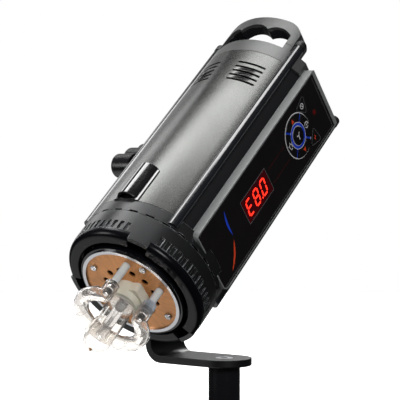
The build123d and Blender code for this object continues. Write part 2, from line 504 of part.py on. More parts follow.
def rear_panel():
    """The black plate across the rear, with the fan grille and the openings."""
    plate = rod(BARREL_R - CAP_T - SEAT, PANEL_REAR, PANEL_REAR + PANEL_T)
    plate = cut_all(plate, all_rods(ROD_R + SEAT, -130, 0))
    plate = plate - block(CAP_FLAT - CAP_T - SEAT, 70, -130, 0, -60, 60)
    for i in range(4):
        r = HUB_R + 3.2 * (i + 0.25)
        plate = plate - pipe(r + 2.0, r, -130, 0, 0, FAN_U)
    spokes = block(-1.5, 1.5, PANEL_REAR, PANEL_REAR + PANEL_T, FAN_U - 27, FAN_U + 27)
    spokes = spokes + block(-27, 27, PANEL_REAR, PANEL_REAR + PANEL_T, FAN_U - 1.5, FAN_U + 1.5)
    plate = plate + spokes
    half, tall = INLET_W / 2 + SEAT, INLET_H / 2 + SEAT
    plate = plate - block(-half, half, -130, 0, INLET_U - tall, INLET_U + tall)
    wide, high = ROCKER_W / 2 + SEAM, ROCKER_H / 2 + SEAM
    plate = plate - block(ROCKER_X - wide, ROCKER_X + wide, -130, 0, ROCKER_U - high, ROCKER_U + high)
    well = block(ROCKER_X - wide - 1.5, ROCKER_X + wide + 1.5, PANEL_REAR + 1, PANEL_REAR + 12,
                 ROCKER_U - high - 1.5, ROCKER_U + high + 1.5)
    well = well - block(ROCKER_X - wide, ROCKER_X + wide, PANEL_REAR - 1, PANEL_REAR + 10.5,
                        ROCKER_U - high, ROCKER_U + high)
    plate = plate + well - side_rod(1.0 + RUN, ROCKER_X - wide - 1.2, ROCKER_X + wide + 1.2,
                                    PANEL_REAR + 3, ROCKER_U)
    holes = [rod(FUSE_R + RUN, -130, 0, FUSE_X, FUSE_U), rod(JACK_R - 1, -130, 0, JACK_X, JACK_U),
             rod(SLAVE_R - 1, -130, 0, SLAVE_X, SLAVE_U)]
    plate = cut_all(plate, holes)
    tube = pipe(FUSE_R + 1.6, FUSE_R + RUN, PANEL_REAR + 1, PANEL_REAR + 26, FUSE_X, FUSE_U)
    end = rod(FUSE_R + 1.6, PANEL_REAR + 26, PANEL_REAR + 28, FUSE_X, FUSE_U)
    return plate + tube + end


def rear_fittings():
    """What sits in the rear panel, and the fan behind it."""
    face = PANEL_REAR
    half, tall = INLET_W / 2, INLET_H / 2
    body = block(-half, half, face, face + INLET_D, INLET_U - tall, INLET_U + tall)
    flange = block(-half - 2.5, half + 2.5, face - 2, face, INLET_U - tall - 2.5, INLET_U + tall + 2.5)
    flange = fillet(flange.edges().filter_by(Axis.Y), 2)
    socket = block(-half + 1.8, half - 1.8, face - 3, face + 15, INLET_U - tall + 1.6, INLET_U + tall - 1.6)
    low = socket.edges().filter_by(Axis.Y).group_by(Axis.Z)[0]
    socket = chamfer(low, 4.5)
    pins_at = ((0, 3.2), (-7, -2.8), (7, -2.8))
    pins = [block(x - 1, x + 1, face + 3, face + INLET_D + 3, INLET_U + u - 2, INLET_U + u + 2)
            for x, u in pins_at]
    save("power_inlet", HEAD * cut_all(body + flange - socket, pins))
    save("inlet_pins", HEAD * Compound(children=pins))
    wide, high = ROCKER_W / 2, ROCKER_H / 2
    curve = side_rod(high, ROCKER_X - wide, ROCKER_X + wide, face + 3, ROCKER_U)
    key = curve & block(-60, 0, face - 2.6, face + 7, -60, 0)
    key = key + side_rod(1.0, ROCKER_X - wide - 1.0, ROCKER_X + wide + 1.0, face + 3, ROCKER_U)
    hinge = Pos(0, -face - 3, ROCKER_U)
    save("power_rocker", HEAD * hinge * Rot(ROCKER_LEAN, 0, 0) * hinge.inverse() * key)
    cap = rod(FUSE_CAP_R, face - 5, face - SEAM, FUSE_X, FUSE_U) + rod(
        FUSE_R, face - SEAM - 1, face + 12, FUSE_X, FUSE_U)
    cap = cap - block(FUSE_X - 4.5, FUSE_X + 4.5, face - 6, face - 3.5, FUSE_U - 0.6, FUSE_U + 0.6)
    save("fuse_cap", HEAD * (cap + rod(2.6, face + 11, face + 25, FUSE_X, FUSE_U)))
    jack = pipe(JACK_R, 3.2, face - 2.5, face, JACK_X, JACK_U) + pipe(
        JACK_R - 1, 3.2, face, face + 8, JACK_X, JACK_U)
    save("sync_jack", HEAD * (jack + rod(JACK_R - 1, face + 8, face + 18, JACK_X, JACK_U)))
    dome = rod(SLAVE_R, face - 1, face, SLAVE_X, SLAVE_U) + rod(
        SLAVE_R - 1, face, face + 4, SLAVE_X, SLAVE_U)
    bubble = (Pos(SLAVE_X, -face + 1, SLAVE_U) * Sphere(SLAVE_R - 1)) & block(0, 60, face - 10, face, -30, 40)
    save("slave_sensor", HEAD * (dome + bubble))
    front = face + PANEL_T
    half = FAN_SIZE / 2
    frame = block(-half, half, front, front + FAN_DEPTH, FAN_U - half, FAN_U + half)
    frame = fillet(frame.edges().filter_by(Axis.Y), 4) - rod(FAN_R + 1.5, front - 1, front + 20, 0, FAN_U)
    boss = rod(HUB_R - 1, front + FAN_DEPTH - 3, front + FAN_DEPTH, 0, FAN_U)
    struts = block(-1.2, 1.2, front + FAN_DEPTH - 2.5, front + FAN_DEPTH, FAN_U - half + 1, FAN_U + half - 1)
    struts = struts + block(-half + 1, half - 1, front + FAN_DEPTH - 2.5, front + FAN_DEPTH,
                            FAN_U - 1.2, FAN_U + 1.2)
    axle = rod(1.5, front + 3, front + FAN_DEPTH, 0, FAN_U)
    save("fan_frame", HEAD * (frame + boss + struts + axle))
    hub = rod(HUB_R, front + 1, front + FAN_DEPTH - 3.5, 0, FAN_U)
    for i in range(BLADES):
        turned = Pos(0, 0, FAN_U) * Rot(0, 360 / BLADES * i, 0)
        blade = Pos(0, -(front + 6), (HUB_R + FAN_R) / 2 - 0.5) * Rot(0, 0, 35) * Box(14, 1.2, FAN_R - HUB_R + 1)
        hub = hub + ((turned * blade) & rod(FAN_R, front + 0.8, front + FAN_DEPTH - 3, 0, FAN_U))
    save("fan_rotor", HEAD * (hub - rod(1.5 + RUN, front + 2.5, front + 30, 0, FAN_U)))


# ---- control box ------------------------------------------------------------------------


def panel_block(sketch, x0, x1):
    """A sketch in a and u, made into a solid between x0 and x1."""
    return extrude(facing(x1) * sketch, x1 - x0)


def key_sketches():
    """The outline of every key, by name, in a and u."""
    keys = {"key_set": Pos(PAD_A, PAD_U) * Circle(PAD_KEY_R)}
    slots = Rot(0, 0, 45) * Rectangle(60, PAD_SPOKE) + Rot(0, 0, -45) * Rectangle(60, PAD_SPOKE)
    disc = Circle(PAD_R) - Circle(PAD_RING_R + 0.8) - slots
    for name, angle in (("key_front", 0), ("key_up", 90), ("key_rear", 180), ("key_down", 270)):
        reach = 40
        side = Rot(0, 0, angle) * Polygon((0, 0), (reach, -reach), (reach, reach), align=None)
        keys[name] = Pos(PAD_A, PAD_U) * (disc & side)
    for name, (a, u, turn) in zip(("key_lamp", "key_test"), TRIANGLE_KEYS):
        corner = RegularPolygon(TRIANGLE_SIDE / sqrt(3), 3)
        corner = fillet(corner.vertices(), 1.5)
        keys[name] = Pos(a, u) * Rot(0, 0, turn) * corner
    return keys


def control_pieces():
    """The control box on the right of the barrel, with its keys and its display."""
    outline = Pos(BOX_MID_A, 0) * Rectangle(BOX_L, 2 * BOX_HALF_U)
    corners = outline.vertices()
    outline = fillet(corners.group_by(Axis.X)[0], 2)
    outline = fillet(outline.vertices().sort_by(Axis.X)[-2:], 6)
    solid = panel_block(outline, 45, BOX_X)
    solid = solid - rod(HOUSING_R, BOX_REAR - 5, COVER_FRONT - SEAM) - rod(
        BARREL_R + SEAM, COVER_FRONT - SEAM, BOX_FRONT + 5)
    solid = cut_all(solid, all_rods(ROD_R + SEAM, BOX_REAR - 5, BOX_FRONT + 5)) - block(40, CAP_FLAT, -100, COVER_REAR, -40, 40)
    inner_u = BOX_HALF_U - BOX_T
    pocket_front = COVER_FRONT - 3
    solid = solid - block(40, FACE_IN, BOX_REAR + BOX_T, pocket_front, -inner_u, inner_u)
    reach = WINDOW_HALF_U - SEAM
    face = block(FACE_IN, FACE_OUT, BOX_REAR + 4, COVER_FRONT - 7, -reach, reach)
    a0, a1 = BOX_REAR + FASCIA_REAR_RIM, BOX_FRONT - FASCIA_FRONT_RIM
    rim = BOX_HALF_U - FASCIA_RIM
    recess = block(FACE_OUT, BOX_X + 1, a0, a1, -rim, rim)
    fascia = block(FACE_OUT, BOX_X - 0.0, a0 + SEAT, a1 - SEAT, -rim + SEAT, rim - SEAT)
    fascia = fillet(fascia.edges().filter_by(Axis.X).group_by(Axis.Y)[0], 5)
    hollow = rod(BARREL_R + SEAM, COVER_FRONT - SEAM, BOX_FRONT + 5)
    shell = solid + face - recess
    fascia = fascia - hollow
    sketches = key_sketches()
    for name, sketch in sketches.items():
        hole = panel_block(offset(sketch, KEY_GAP, kind=Kind.INTERSECTION), FACE_IN - 1, BOX_X + 2)
        shell, fascia = shell - hole, fascia - hole
        shoulder = panel_block(sketch, FACE_IN + 0.2, BOX_X + KEY_PROUD)
        at = sketch.center()
        if name in ("key_front", "key_up", "key_rear", "key_down"):
            angle = {"key_front": 0, "key_up": 90, "key_rear": 180, "key_down": 270}[name]
            at = Vector(PAD_A, PAD_U) + Vector(15.5, 0).rotate(Axis.Z, angle)
        stem = side_rod(KEY_STEM_R, BOARD_X + BOARD_T + KEY_TRAVEL + 0.2, FACE_IN + 1, at.X, at.Y)
        save(name, HEAD * (shoulder + stem))
    a, u = DISPLAY_A, DISPLAY_U
    frame = [a - DISPLAY_L / 2, a + DISPLAY_L / 2, u - DISPLAY_W / 2, u + DISPLAY_W / 2]
    fascia = fascia - block(50, 70, *frame)
    shell = shell - block(50, 70, frame[0] + 1, frame[1] - 1, frame[2] + 1, frame[3] - 1)
    seat = [frame[0] + SEAT, frame[1] - SEAT, frame[2] + SEAT, frame[3] - SEAT]
    save("display_window", HEAD * block(FACE_OUT, BOX_X, *seat))
    module = [frame[0] + 1.2, frame[1] - 1.2, frame[2] + 1.2, frame[3] - 1.2]
    save("display_module", HEAD * block(BOARD_X + BOARD_T, FACE_OUT, *module))
    ready = rod_hole(READY_R + SEAT, READY_A, READY_U)
    shell, fascia = shell - ready, fascia - ready
    lamp = side_rod(READY_R, BOARD_X + BOARD_T, BOX_X + 0.3, READY_A, READY_U)
    save("ready_lamp", HEAD * lamp)
    reach = WINDOW_HALF_U - 1.5
    board = block(BOARD_X, BOARD_X + BOARD_T, BOX_REAR + 7, COVER_FRONT - 10, -reach, reach)
    spots = [(p, q) for p in (BOX_REAR + 12, COVER_FRONT - 16) for q in (-reach + 4, reach - 4)]
    for a, u in spots:
        shell = shell + side_rod(3, BOARD_X + BOARD_T, FACE_IN + 0.5, a, u)
    save("control_board", HEAD * board)
    save("control_box", HEAD * shell)
    save("panel_fascia", HEAD * fascia)


def rod_hole(r, a, u):
    """A hole through the panel at a and u."""
    return side_rod(r, 50, 70, a, u)


# ---- inside ---------------------------------------------------------------------------


def inside_pieces():
    """The tray, the capacitors, the power board and its coil."""
    rear, front = COVER_REAR + LEDGE, COVER_FRONT - LEDGE
    tray = block(-TRAY_HALF_X, TRAY_HALF_X, TRAY_REAR, front, TRAY_U, TRAY_U + TRAY_T)
    for side in (1, -1):
        x0, x1 = sorted((side * (TRAY_HALF_X - TRAY_RAIL), side * TRAY_HALF_X))
        tray = tray + block(x0, x1, rear, TRAY_REAR, TRAY_U, TRAY_U + TRAY_T)
    top = TRAY_U + TRAY_T
    posts_at = [(s * (POWER_HALF_X - 2.5), a) for s in (1, -1) for a in (POWER_REAR + 4, POWER_FRONT - 4)]
    for x, a in posts_at:
        tray = tray + Pos(x, -a, (top + POWER_U) / 2) * Cylinder(1.8, POWER_U - top)
    saddles = [block(s * CAN_X - 12, s * CAN_X + 12, a + 8, a + 14, top - 0.5, top + 5)
               + block(s * CAN_X - 12, s * CAN_X + 12, a + CAN_L - 14, a + CAN_L - 8, top - 0.5, top + 5)
               for s in (1, -1) for a in CAN_REARS]
    cans = [rod(CAN_R, a, a + CAN_L, s * CAN_X, top + CAN_R) for s in (1, -1) for a in CAN_REARS]
    for saddle in saddles:
        tray = tray + saddle
    save("chassis_tray", HEAD * cut_all(tray, cans))
    save("capacitors", HEAD * Compound(children=cans))
    board = block(-POWER_HALF_X, POWER_HALF_X, POWER_REAR, POWER_FRONT, POWER_U, POWER_U + POWER_T)
    up = POWER_U + POWER_T
    sink = block(-30, -8, -40, 20, up, up + 4)
    for i in range(6):
        x = -30 + i * 4.1
        sink = sink + block(x, x + 1.5, -40, 20, up, up + 20)
    save("power_board", HEAD * (board + sink))
    core = block(-4, 24, 40, 76, up, up + 26)
    core = core - block(0, 6, 30, 90, up + 5, up + 21) - block(14, 20, 30, 90, up + 5, up + 21)
    coil = block(0.2, 19.8, 38, 78, up + 5.2, up + 20.8) - block(6, 14, 30, 90, up + 4, up + 22)
    save("charging_coil", HEAD * (core + coil))


# ---- tilt joint and bracket -------------------------------------------------------------


def tilt_pieces():
    """The hub on the barrel, its bolt, the friction washer and the locking knob."""
    hub = side_rod(HUB_R_TILT, -HUB_FACE, -45) - rod(HOUSING_R, -60, 60)
    hub = hub - block(-45, 0, -30, 30, -30, 30) - side_rod(BOLT_R + SEAT, -70, -40)
    save("tilt_hub", HEAD * hub)
    head = side_rod(BOLT_HEAD_R, -PAD_DISC_IN, -PAD_DISC_IN + BOLT_HEAD_T)
    flats = extrude(facing(-PAD_DISC_IN + BOLT_HEAD_T) * RegularPolygon(BOLT_HEAD_R, 6), BOLT_HEAD_T)
    bolt = (head & flats) + side_rod(BOLT_R, -BOLT_END, -PAD_DISC_IN)
    save("pivot_bolt", HEAD * bolt)
    x0 = -ARM_OUT - SEAM
    hub = side_rod(KNOB_HUB_R, x0 - KNOB_HUB_T, x0)
    x1 = x0 - KNOB_HUB_T
    hub = fillet(hub.edges().group_by(Axis.X)[0], 2)
    wing = side_rod(KNOB_LOBE_R + 1, x1 - KNOB_W, x1 + 1)
    for side, reach in ((1, KNOB_REACH), (-1, KNOB_REACH)):
        a, u = side * reach * cos(radians(KNOB_ANGLE)), -side * reach * sin(radians(KNOB_ANGLE))
        lobe = side_rod(KNOB_LOBE_R, x1 - KNOB_W, x1 + 1, a, u)
        web = Pos(x1 - KNOB_W / 2 + 0.5, -a / 2, u / 2) * Rot(KNOB_ANGLE, 0, 0) * Box(
            KNOB_W + 1, reach, 1.6 * KNOB_LOBE_R)
        wing = wing + lobe + web
    ends = wing.faces().filter_by(Plane.YZ).sort_by(Axis.X)
    wing = fillet(ends[0].edges(), 3)
    knob = hub + wing - side_rod(BOLT_R + RUN, -BOLT_END - 1, -60)
    save("tilt_knob", KNOB_PLACE * knob)


KNOB_PLACE = Pos(0, 0, PIVOT_Z)


def bracket_pieces():
    """The bent bar, its washer, the socket under its foot and their screws."""
    outside = BEND_R + BAR_T
    arm = Pos(-ARM_IN - BAR_T / 2, 0, 0)
    upright = Pos(0, 0, (FOOT_TOP + BEND_R + PIVOT_Z) / 2) * arm * Box(
        BAR_T, BAR_W, PIVOT_Z - FOOT_TOP - BEND_R)
    top = Pos(-ARM_IN - BAR_T / 2, 0, PIVOT_Z) * Rot(0, 90, 0) * Cylinder(BAR_W / 2, BAR_T)
    foot_l = ARM_IN - BEND_R
    foot = Pos(-foot_l / 2, 0, SOCKET_L + BAR_T / 2) * Box(foot_l, BAR_W, BAR_T)
    toe = Pos(0, 0, SOCKET_L + BAR_T / 2) * Cylinder(BAR_W / 2, BAR_T)
    centre = Pos(-ARM_IN + BEND_R, 0, FOOT_TOP + BEND_R)
    bend = centre * Rot(90, 0, 0) * (Cylinder(outside, BAR_W) - Cylinder(BEND_R, BAR_W + 2))
    corner = Pos(-ARM_IN + BEND_R - outside / 2, 0, FOOT_TOP + BEND_R - outside / 2) * Box(
        outside, BAR_W, outside)
    bar = upright + top + foot + toe + (bend & corner)
    bar = chamfer(bar.faces().sort_by(Axis.X)[0].edges() + bar.faces().sort_by(Axis.Z)[0].edges(), 0.6)
    pivot = Pos(0, 0, PIVOT_Z) * side_rod(BOLT_R + RUN, -80, -50)
    hole = Pos(0, 0, SOCKET_L) * Cylinder(FOOT_SCREW_R + SEAT, 40)
    head_seat = Pos(0, 0, FOOT_TOP) * Cylinder(FOOT_HEAD_R + SEAT, 2 * FOOT_HEAD_T)
    save("tilt_bracket", bar - pivot - hole - head_seat)
    washer = side_rod(WASHER_R, -ARM_IN, -ARM_IN + WASHER_T) - side_rod(BOLT_R + RUN, -80, -50)
    save("friction_washer", Pos(0, 0, PIVOT_Z) * washer)
    tube = Pos(0, 0, SOCKET_L / 2) * Cylinder(SOCKET_R, SOCKET_L)
    tube = chamfer(tube.edges().group_by(Axis.Z)[0], 1)
    tube = tube - Pos(0, 0, SPIGOT_DEPTH / 2) * Cylinder(SPIGOT_BORE_R, SPIGOT_DEPTH)
    tap = Pos(0, 0, SOCKET_L - FOOT_SCREW_L / 2 + 4) * Cylinder(FOOT_SCREW_R + SEAT, FOOT_SCREW_L + 8)
    lock = Pos(0, 0, LOCK_Z)
    save("stand_socket", tube - tap - lock * side_rod(LOCK_R + RUN, -SOCKET_R - 1, 0))
    head = Pos(0, 0, FOOT_TOP - FOOT_HEAD_T / 2) * Cylinder(FOOT_HEAD_R, FOOT_HEAD_T)
    head = chamfer(head.edges().group_by(Axis.Z)[-1], 0.5)
    shank_l = FOOT_SCREW_L - FOOT_HEAD_T
    shank = Pos(0, 0, FOOT_TOP - FOOT_HEAD_T - shank_l / 2) * Cylinder(FOOT_SCREW_R, shank_l)
    key = extrude(Plane.XY.offset(FOOT_TOP - 2) * RegularPolygon(4, 6), 3)
    save("foot_screw", head + shank - key)
    start = -SPIGOT_BORE_R
    shaft = side_rod(LOCK_R, -SOCKET_R - LOCK_NECK - 1, start)
    shaft = shaft - Pos(0, 0, -LOCK_Z) * Pos(0, 0, SPIGOT_DEPTH / 2) * Cylinder(SPIGOT_BORE_R + 0.1, 90)
    face = -SOCKET_R - LOCK_NECK
    grip = side_rod(LOCK_KNOB_R, face - LOCK_KNOB_T, face)
    flutes = [Rot(40 * i, 0, 0) * Pos(0, 0, LOCK_KNOB_R + 1.4) * side_rod(3, face - LOCK_KNOB_T - 1, face + 1)
              for i in range(9)]
    collar = side_rod(5.5, face - 1, -SOCKET_R - 1.0)
    save("socket_lock", lock * (cut_all(grip, flutes) + shaft + collar))


# ---- write every piece ------------------------------------------------------------------


def main():
    """Builds and writes every piece."""
    os.makedirs("parts", exist_ok=True)
    save("top_cover", HEAD * top_cover())
    save("lower_housing", HEAD * lower_housing())
    save("side_rods", HEAD * Compound(children=all_rods(ROD_R, ROD_REAR, ROD_FRONT)))
    caps = [fillet(c.edges().filter_by(GeomType.CIRCLE).group_by(Axis.Y)[-1], 1.8)
            for c in all_rods(ROD_R + 0.4, ROD_REAR - ROD_CAP, ROD_REAR)]
    save("rod_caps", HEAD * Compound(children=caps))
    save("front_collar", HEAD * front_collar())
    save("bayonet_ring", HEAD * bayonet_ring())
    save("ring_lip", HEAD * ring_lip())
    save("lamp_drum", HEAD * lamp_drum())
    heads = [screw(1.5, 2.6, 1.6, 6, NECK_FRONT + FLANGE_T, *polar(NECK_R - NECK_T / 2, 90 * i + 45))
             for i in range(4)]
    save("drum_screws", HEAD * Compound(children=heads))
    save("reflector_plate", HEAD * reflector_plate())
    rim = pipe(RIM_R, PLATE_R + SEAT, RIM_A - RIM_T, RIM_A) + pipe(
        RIM_R, PLATE_R - 1.2, PLATE_A, RIM_A)
    save("plate_rim", HEAD * rim)
    heads = [screw(1.15, PLATE_SCREW_R, 2.0, 7, PLATE_A, x, u) for x, u in plate_screws_at()]
    save("plate_screws", HEAD * Compound(children=heads))
    lamp_pieces()
    catch_pieces()
    rear_pieces()
    save("rear_panel", HEAD * rear_panel())
    rear_fittings()
    control_pieces()
    inside_pieces()
    tilt_pieces()
    bracket_pieces()


main()
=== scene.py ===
"""Looks of a monolight studio strobe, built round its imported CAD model.

The head lies along its own three directions, in millimetres: x across it, a ahead of the tilt pivot
along the barrel, and u above the barrel's axis. HEAD turns them into the model's own frame, in metres.
"""
from __future__ import annotations

import json
import logging
import math
from dataclasses import dataclass
from enum import Enum
from typing import Any, Callable, Iterable, Sequence

import bmesh
import bpy
from mathutils import Matrix, Vector

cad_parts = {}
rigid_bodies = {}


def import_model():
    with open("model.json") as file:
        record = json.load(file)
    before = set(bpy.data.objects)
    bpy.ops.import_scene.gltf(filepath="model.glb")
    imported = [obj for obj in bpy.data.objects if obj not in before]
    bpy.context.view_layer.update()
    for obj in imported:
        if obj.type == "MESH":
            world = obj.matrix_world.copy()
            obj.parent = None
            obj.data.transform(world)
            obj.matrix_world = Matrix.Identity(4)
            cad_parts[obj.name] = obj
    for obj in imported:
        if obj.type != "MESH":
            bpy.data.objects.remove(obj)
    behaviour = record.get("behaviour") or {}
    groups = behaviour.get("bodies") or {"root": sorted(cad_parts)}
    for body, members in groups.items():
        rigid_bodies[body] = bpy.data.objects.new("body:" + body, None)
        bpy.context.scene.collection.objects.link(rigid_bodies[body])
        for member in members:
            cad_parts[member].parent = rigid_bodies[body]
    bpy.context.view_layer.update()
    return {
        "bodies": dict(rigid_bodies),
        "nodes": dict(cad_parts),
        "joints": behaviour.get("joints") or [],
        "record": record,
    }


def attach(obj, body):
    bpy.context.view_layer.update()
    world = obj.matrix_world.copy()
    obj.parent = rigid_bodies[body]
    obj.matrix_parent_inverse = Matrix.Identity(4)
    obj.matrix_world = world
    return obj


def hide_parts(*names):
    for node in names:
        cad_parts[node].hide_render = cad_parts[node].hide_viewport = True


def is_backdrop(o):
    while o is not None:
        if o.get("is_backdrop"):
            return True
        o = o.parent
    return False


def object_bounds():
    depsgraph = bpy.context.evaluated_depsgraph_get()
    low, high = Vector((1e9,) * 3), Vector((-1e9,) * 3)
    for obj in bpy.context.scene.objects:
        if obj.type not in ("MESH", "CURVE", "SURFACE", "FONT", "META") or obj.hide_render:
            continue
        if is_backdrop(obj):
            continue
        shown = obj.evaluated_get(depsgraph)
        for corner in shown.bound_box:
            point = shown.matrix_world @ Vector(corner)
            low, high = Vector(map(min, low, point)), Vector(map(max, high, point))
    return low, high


LOG = logging.getLogger("strobe")
MM = 0.001
Colour = tuple[float, float, float]
Point = tuple[float, float]


@dataclass(frozen=True)
class HeadFrame:
    """Where the tilted head stands in the model's frame."""

    tilt_deg: float = 40.0
    pivot_up: float = 238.4

    def point(self, x: float, a: float, u: float) -> Vector:
        """Turns a place on the head into the model's frame.

        Args:
            x: Millimetres across, towards the control panel.
            a: Millimetres ahead of the pivot.
            u: Millimetres above the barrel's axis.

        Returns:
            The place in metres.
        """
        c, s = math.cos(math.radians(self.tilt_deg)), math.sin(math.radians(self.tilt_deg))
        return Vector((x, -a * c - u * s, self.pivot_up - a * s + u * c)) * MM

    def matrix(self, x: float, a: float, u: float) -> Matrix:
        """Local X across, local Y up the head and local Z ahead, with its origin at a place.

        Args:
            x: Millimetres across.
            a: Millimetres ahead of the pivot.
            u: Millimetres above the axis.

        Returns:
            The matrix that turns and moves a piece to that place.
        """
        c, s = math.cos(math.radians(self.tilt_deg)), math.sin(math.radians(self.tilt_deg))
        across, up, ahead = Vector((1, 0, 0)), Vector((0, -s, c)), Vector((0, -c, -s))
        turn = Matrix((across, up, ahead)).transposed().to_4x4()
        return Matrix.Translation(self.point(x, a, u)) @ turn


HEAD = HeadFrame()


# ---- shader maths ---------------------------------------------------------------------


class Signal:
    """One socket's value in a material, which takes part in sums."""

    def __init__(self, graph: "Graph", socket: bpy.types.NodeSocket) -> None:
        """Wraps a socket of a graph."""
        self.graph = graph
        self.socket = socket

    def _sum(self, operation: str, first: Any, second: Any) -> "Signal":
        """Adds one Math node for two values."""
        return self.graph.node("ShaderNodeMath", {"operation": operation}, {0: first, 1: second})

    def __add__(self, other: Any) -> "Signal":
        """Adds."""
        return self._sum("ADD", self, other)

    __radd__ = __add__

    def __mul__(self, other: Any) -> "Signal":
        """Multiplies."""
        return self._sum("MULTIPLY", self, other)

    __rmul__ = __mul__

    def __sub__(self, other: Any) -> "Signal":
        """Takes away."""
        return self._sum("SUBTRACT", self, other)

    def __rsub__(self, other: Any) -> "Signal":
        """Is taken away from a number."""
        return self._sum("SUBTRACT", other, self)

    def above(self, low: float, high: float) -> "Signal":
        """Goes smoothly from 0 at low to 1 at high.

        Args:
            low: Where the result leaves 0.
            high: Where it reaches 1.

        Returns:
            The new signal.
        """
        settings = {"interpolation_type": "SMOOTHSTEP"}
        inputs = {"Value": self, "From Min": low, "From Max": high}
        return self.graph.node("ShaderNodeMapRange", settings, inputs)


class Graph:
    """The node tree of one material or world."""

    def __init__(self, tree: bpy.types.NodeTree) -> None:
        """Starts on an empty tree."""
        self.tree = tree
        tree.nodes.clear()

    def node(self, kind: str, settings: dict[str, Any] | None = None,
             inputs: dict[Any, Any] | None = None, output: int | str = 0) -> Signal:
        """Adds any node.

        Args:
            kind: The node's type.
            settings: Its properties, set first. A ramp takes its stops as "stops".
            inputs: Values, colours or signals of its sockets, by name or place.
            output: The socket that is handed on.

        Returns:
            The signal of that output.
        """
        made = self.tree.nodes.new(kind)
        for name, value in (settings or {}).items():
            if name == "stops":
                while len(made.color_ramp.elements) < len(value):
                    made.color_ramp.elements.new(0.5)
                for stop, (place, colour) in zip(made.color_ramp.elements, value):
                    stop.position, stop.color = place, (*colour, 1.0)
            else:
                setattr(made, name, value)
        for name, value in (inputs or {}).items():
            socket = made.inputs[name]
            if isinstance(value, Signal):
                self.tree.links.new(value.socket, socket)
            elif isinstance(value, tuple) and len(value) == 3 and socket.type == "RGBA":
                socket.default_value = (*value, 1.0)
            else:
                socket.default_value = value
        return Signal(self, made.outputs[output])

    def place(self, stretch: tuple[float, float, float] = (1, 1, 1), lengthwise: bool = False) -> Signal:
        """The piece's own coordinates, stretched, and turned along the head if asked.

        Args:
            stretch: How much each direction is scaled.
            lengthwise: Whether Y runs along the barrel.

        Returns:
            The coordinates.
        """
        raw = self.node("ShaderNodeTexCoord", output="Object")
        turn = (-math.radians(HEAD.tilt_deg), 0, 0) if lengthwise else (0, 0, 0)
        if turn[0]:
            raw = self.node("ShaderNodeMapping", {"vector_type": "POINT"}, {"Vector": raw, "Rotation": turn})
        return self.node("ShaderNodeMapping", {"vector_type": "POINT"}, {"Vector": raw, "Scale": stretch})

    def noise(self, at: Signal, scale: float, detail: float = 2.0, rough: float = 0.5) -> Signal:
        """Noise from 0 to 1, its scale in turns a metre."""
        return self.node("ShaderNodeTexNoise", {}, {
            "Vector": at, "Scale": scale, "Detail": detail, "Roughness": rough})

    def mix(self, share: Any, first: Any, second: Any) -> Signal:
        """Goes from the first colour to the second.

        Args:
            share: How much of the second, from 0 to 1.
            first: A colour or its signal.
            second: A colour or its signal.

        Returns:
            The mixed colour.
        """
        made = self.node("ShaderNodeMix", {"data_type": "RGBA"}, {0: share}, output=2)
        for place, value in ((6, first), (7, second)):
            socket = made.socket.node.inputs[place]
            if isinstance(value, Signal):
                self.tree.links.new(value.socket, socket)
            else:
                socket.default_value = (*value, 1.0)
        return made

    def round_edges(self, radius_mm: float) -> Signal:
        """The surface's direction with its edges rounded."""
        return self.node("ShaderNodeBevel", {"samples": 4}, {"Radius": radius_mm * MM})

    def edge_mask(self, rounded: Signal) -> Signal:
        """1 near an edge and 0 on open surface.

        Args:
            rounded: The direction that round_edges gives.

        Returns:
            The mask.
        """
        flat = self.node("ShaderNodeNewGeometry", output="Normal")
        dot = self.node("ShaderNodeVectorMath", {"operation": "DOT_PRODUCT"}, {0: rounded, 1: flat},
                        output="Value")
        return (1.0 - dot).above(0.01, 0.25)

    def bump(self, height: Signal, strength: float, depth_mm: float, normal: Signal | None = None) -> Signal:
        """Turns height into a surface direction.

        Args:
            height: The relief, from 0 to about 1.
            strength: How much of it counts.
            depth_mm: How deep a step of 1 is.
            normal: The direction it is laid on, if any.

        Returns:
            The direction, for a Normal socket.
        """
        inputs: dict[str, Any] = {"Height": height, "Strength": strength, "Distance": depth_mm * MM}
        if normal is not None:
            inputs["Normal"] = normal
        return self.node("ShaderNodeBump", {}, inputs)

    def finish(self, **sockets: Any) -> None:
        """Ends in a Principled shader, whose sockets are named with _ for a space.

        Args:
            sockets: Values, colours or signals by socket name.
        """
        inputs = {name.replace("_", " "): value for name, value in sockets.items()}
        shader = self.node("ShaderNodeBsdfPrincipled", {}, inputs, output="BSDF")
        self.node_end("ShaderNodeOutputMaterial", shader)

    def node_end(self, kind: str, surface: Signal) -> None:
        """Adds the tree's output node."""
        end = self.tree.nodes.new(kind)
        self.tree.links.new(surface.socket, end.inputs["Surface"])


def times(colour: Colour, factor: float) -> Colour:
    """A colour made lighter or darker."""
    return tuple(min(1.0, c * factor) for c in colour)  # type: ignore[return-value]


# ---- finishes ---------------------------------------------------------------------------


@dataclass(frozen=True)
class Finish:
    """What every finish has: a name, a colour and how rough it is."""

    name: str
    colour: Colour
    rough: float = 0.4

    def material(self) -> bpy.types.Material:
        """Makes the material once and hands the same one out again.

        Returns:
            The material.
        """
        made = bpy.data.materials.get("strobe_" + self.name)
        if made is None:
            made = bpy.data.materials.new("strobe_" + self.name)
            made.use_nodes = True
            made.diffuse_color = (*self.colour, 1.0)
            self.draw(Graph(made.node_tree))
        return made

    def draw(self, graph: Graph) -> None:
        """Draws the material's nodes."""
        raise NotImplementedError


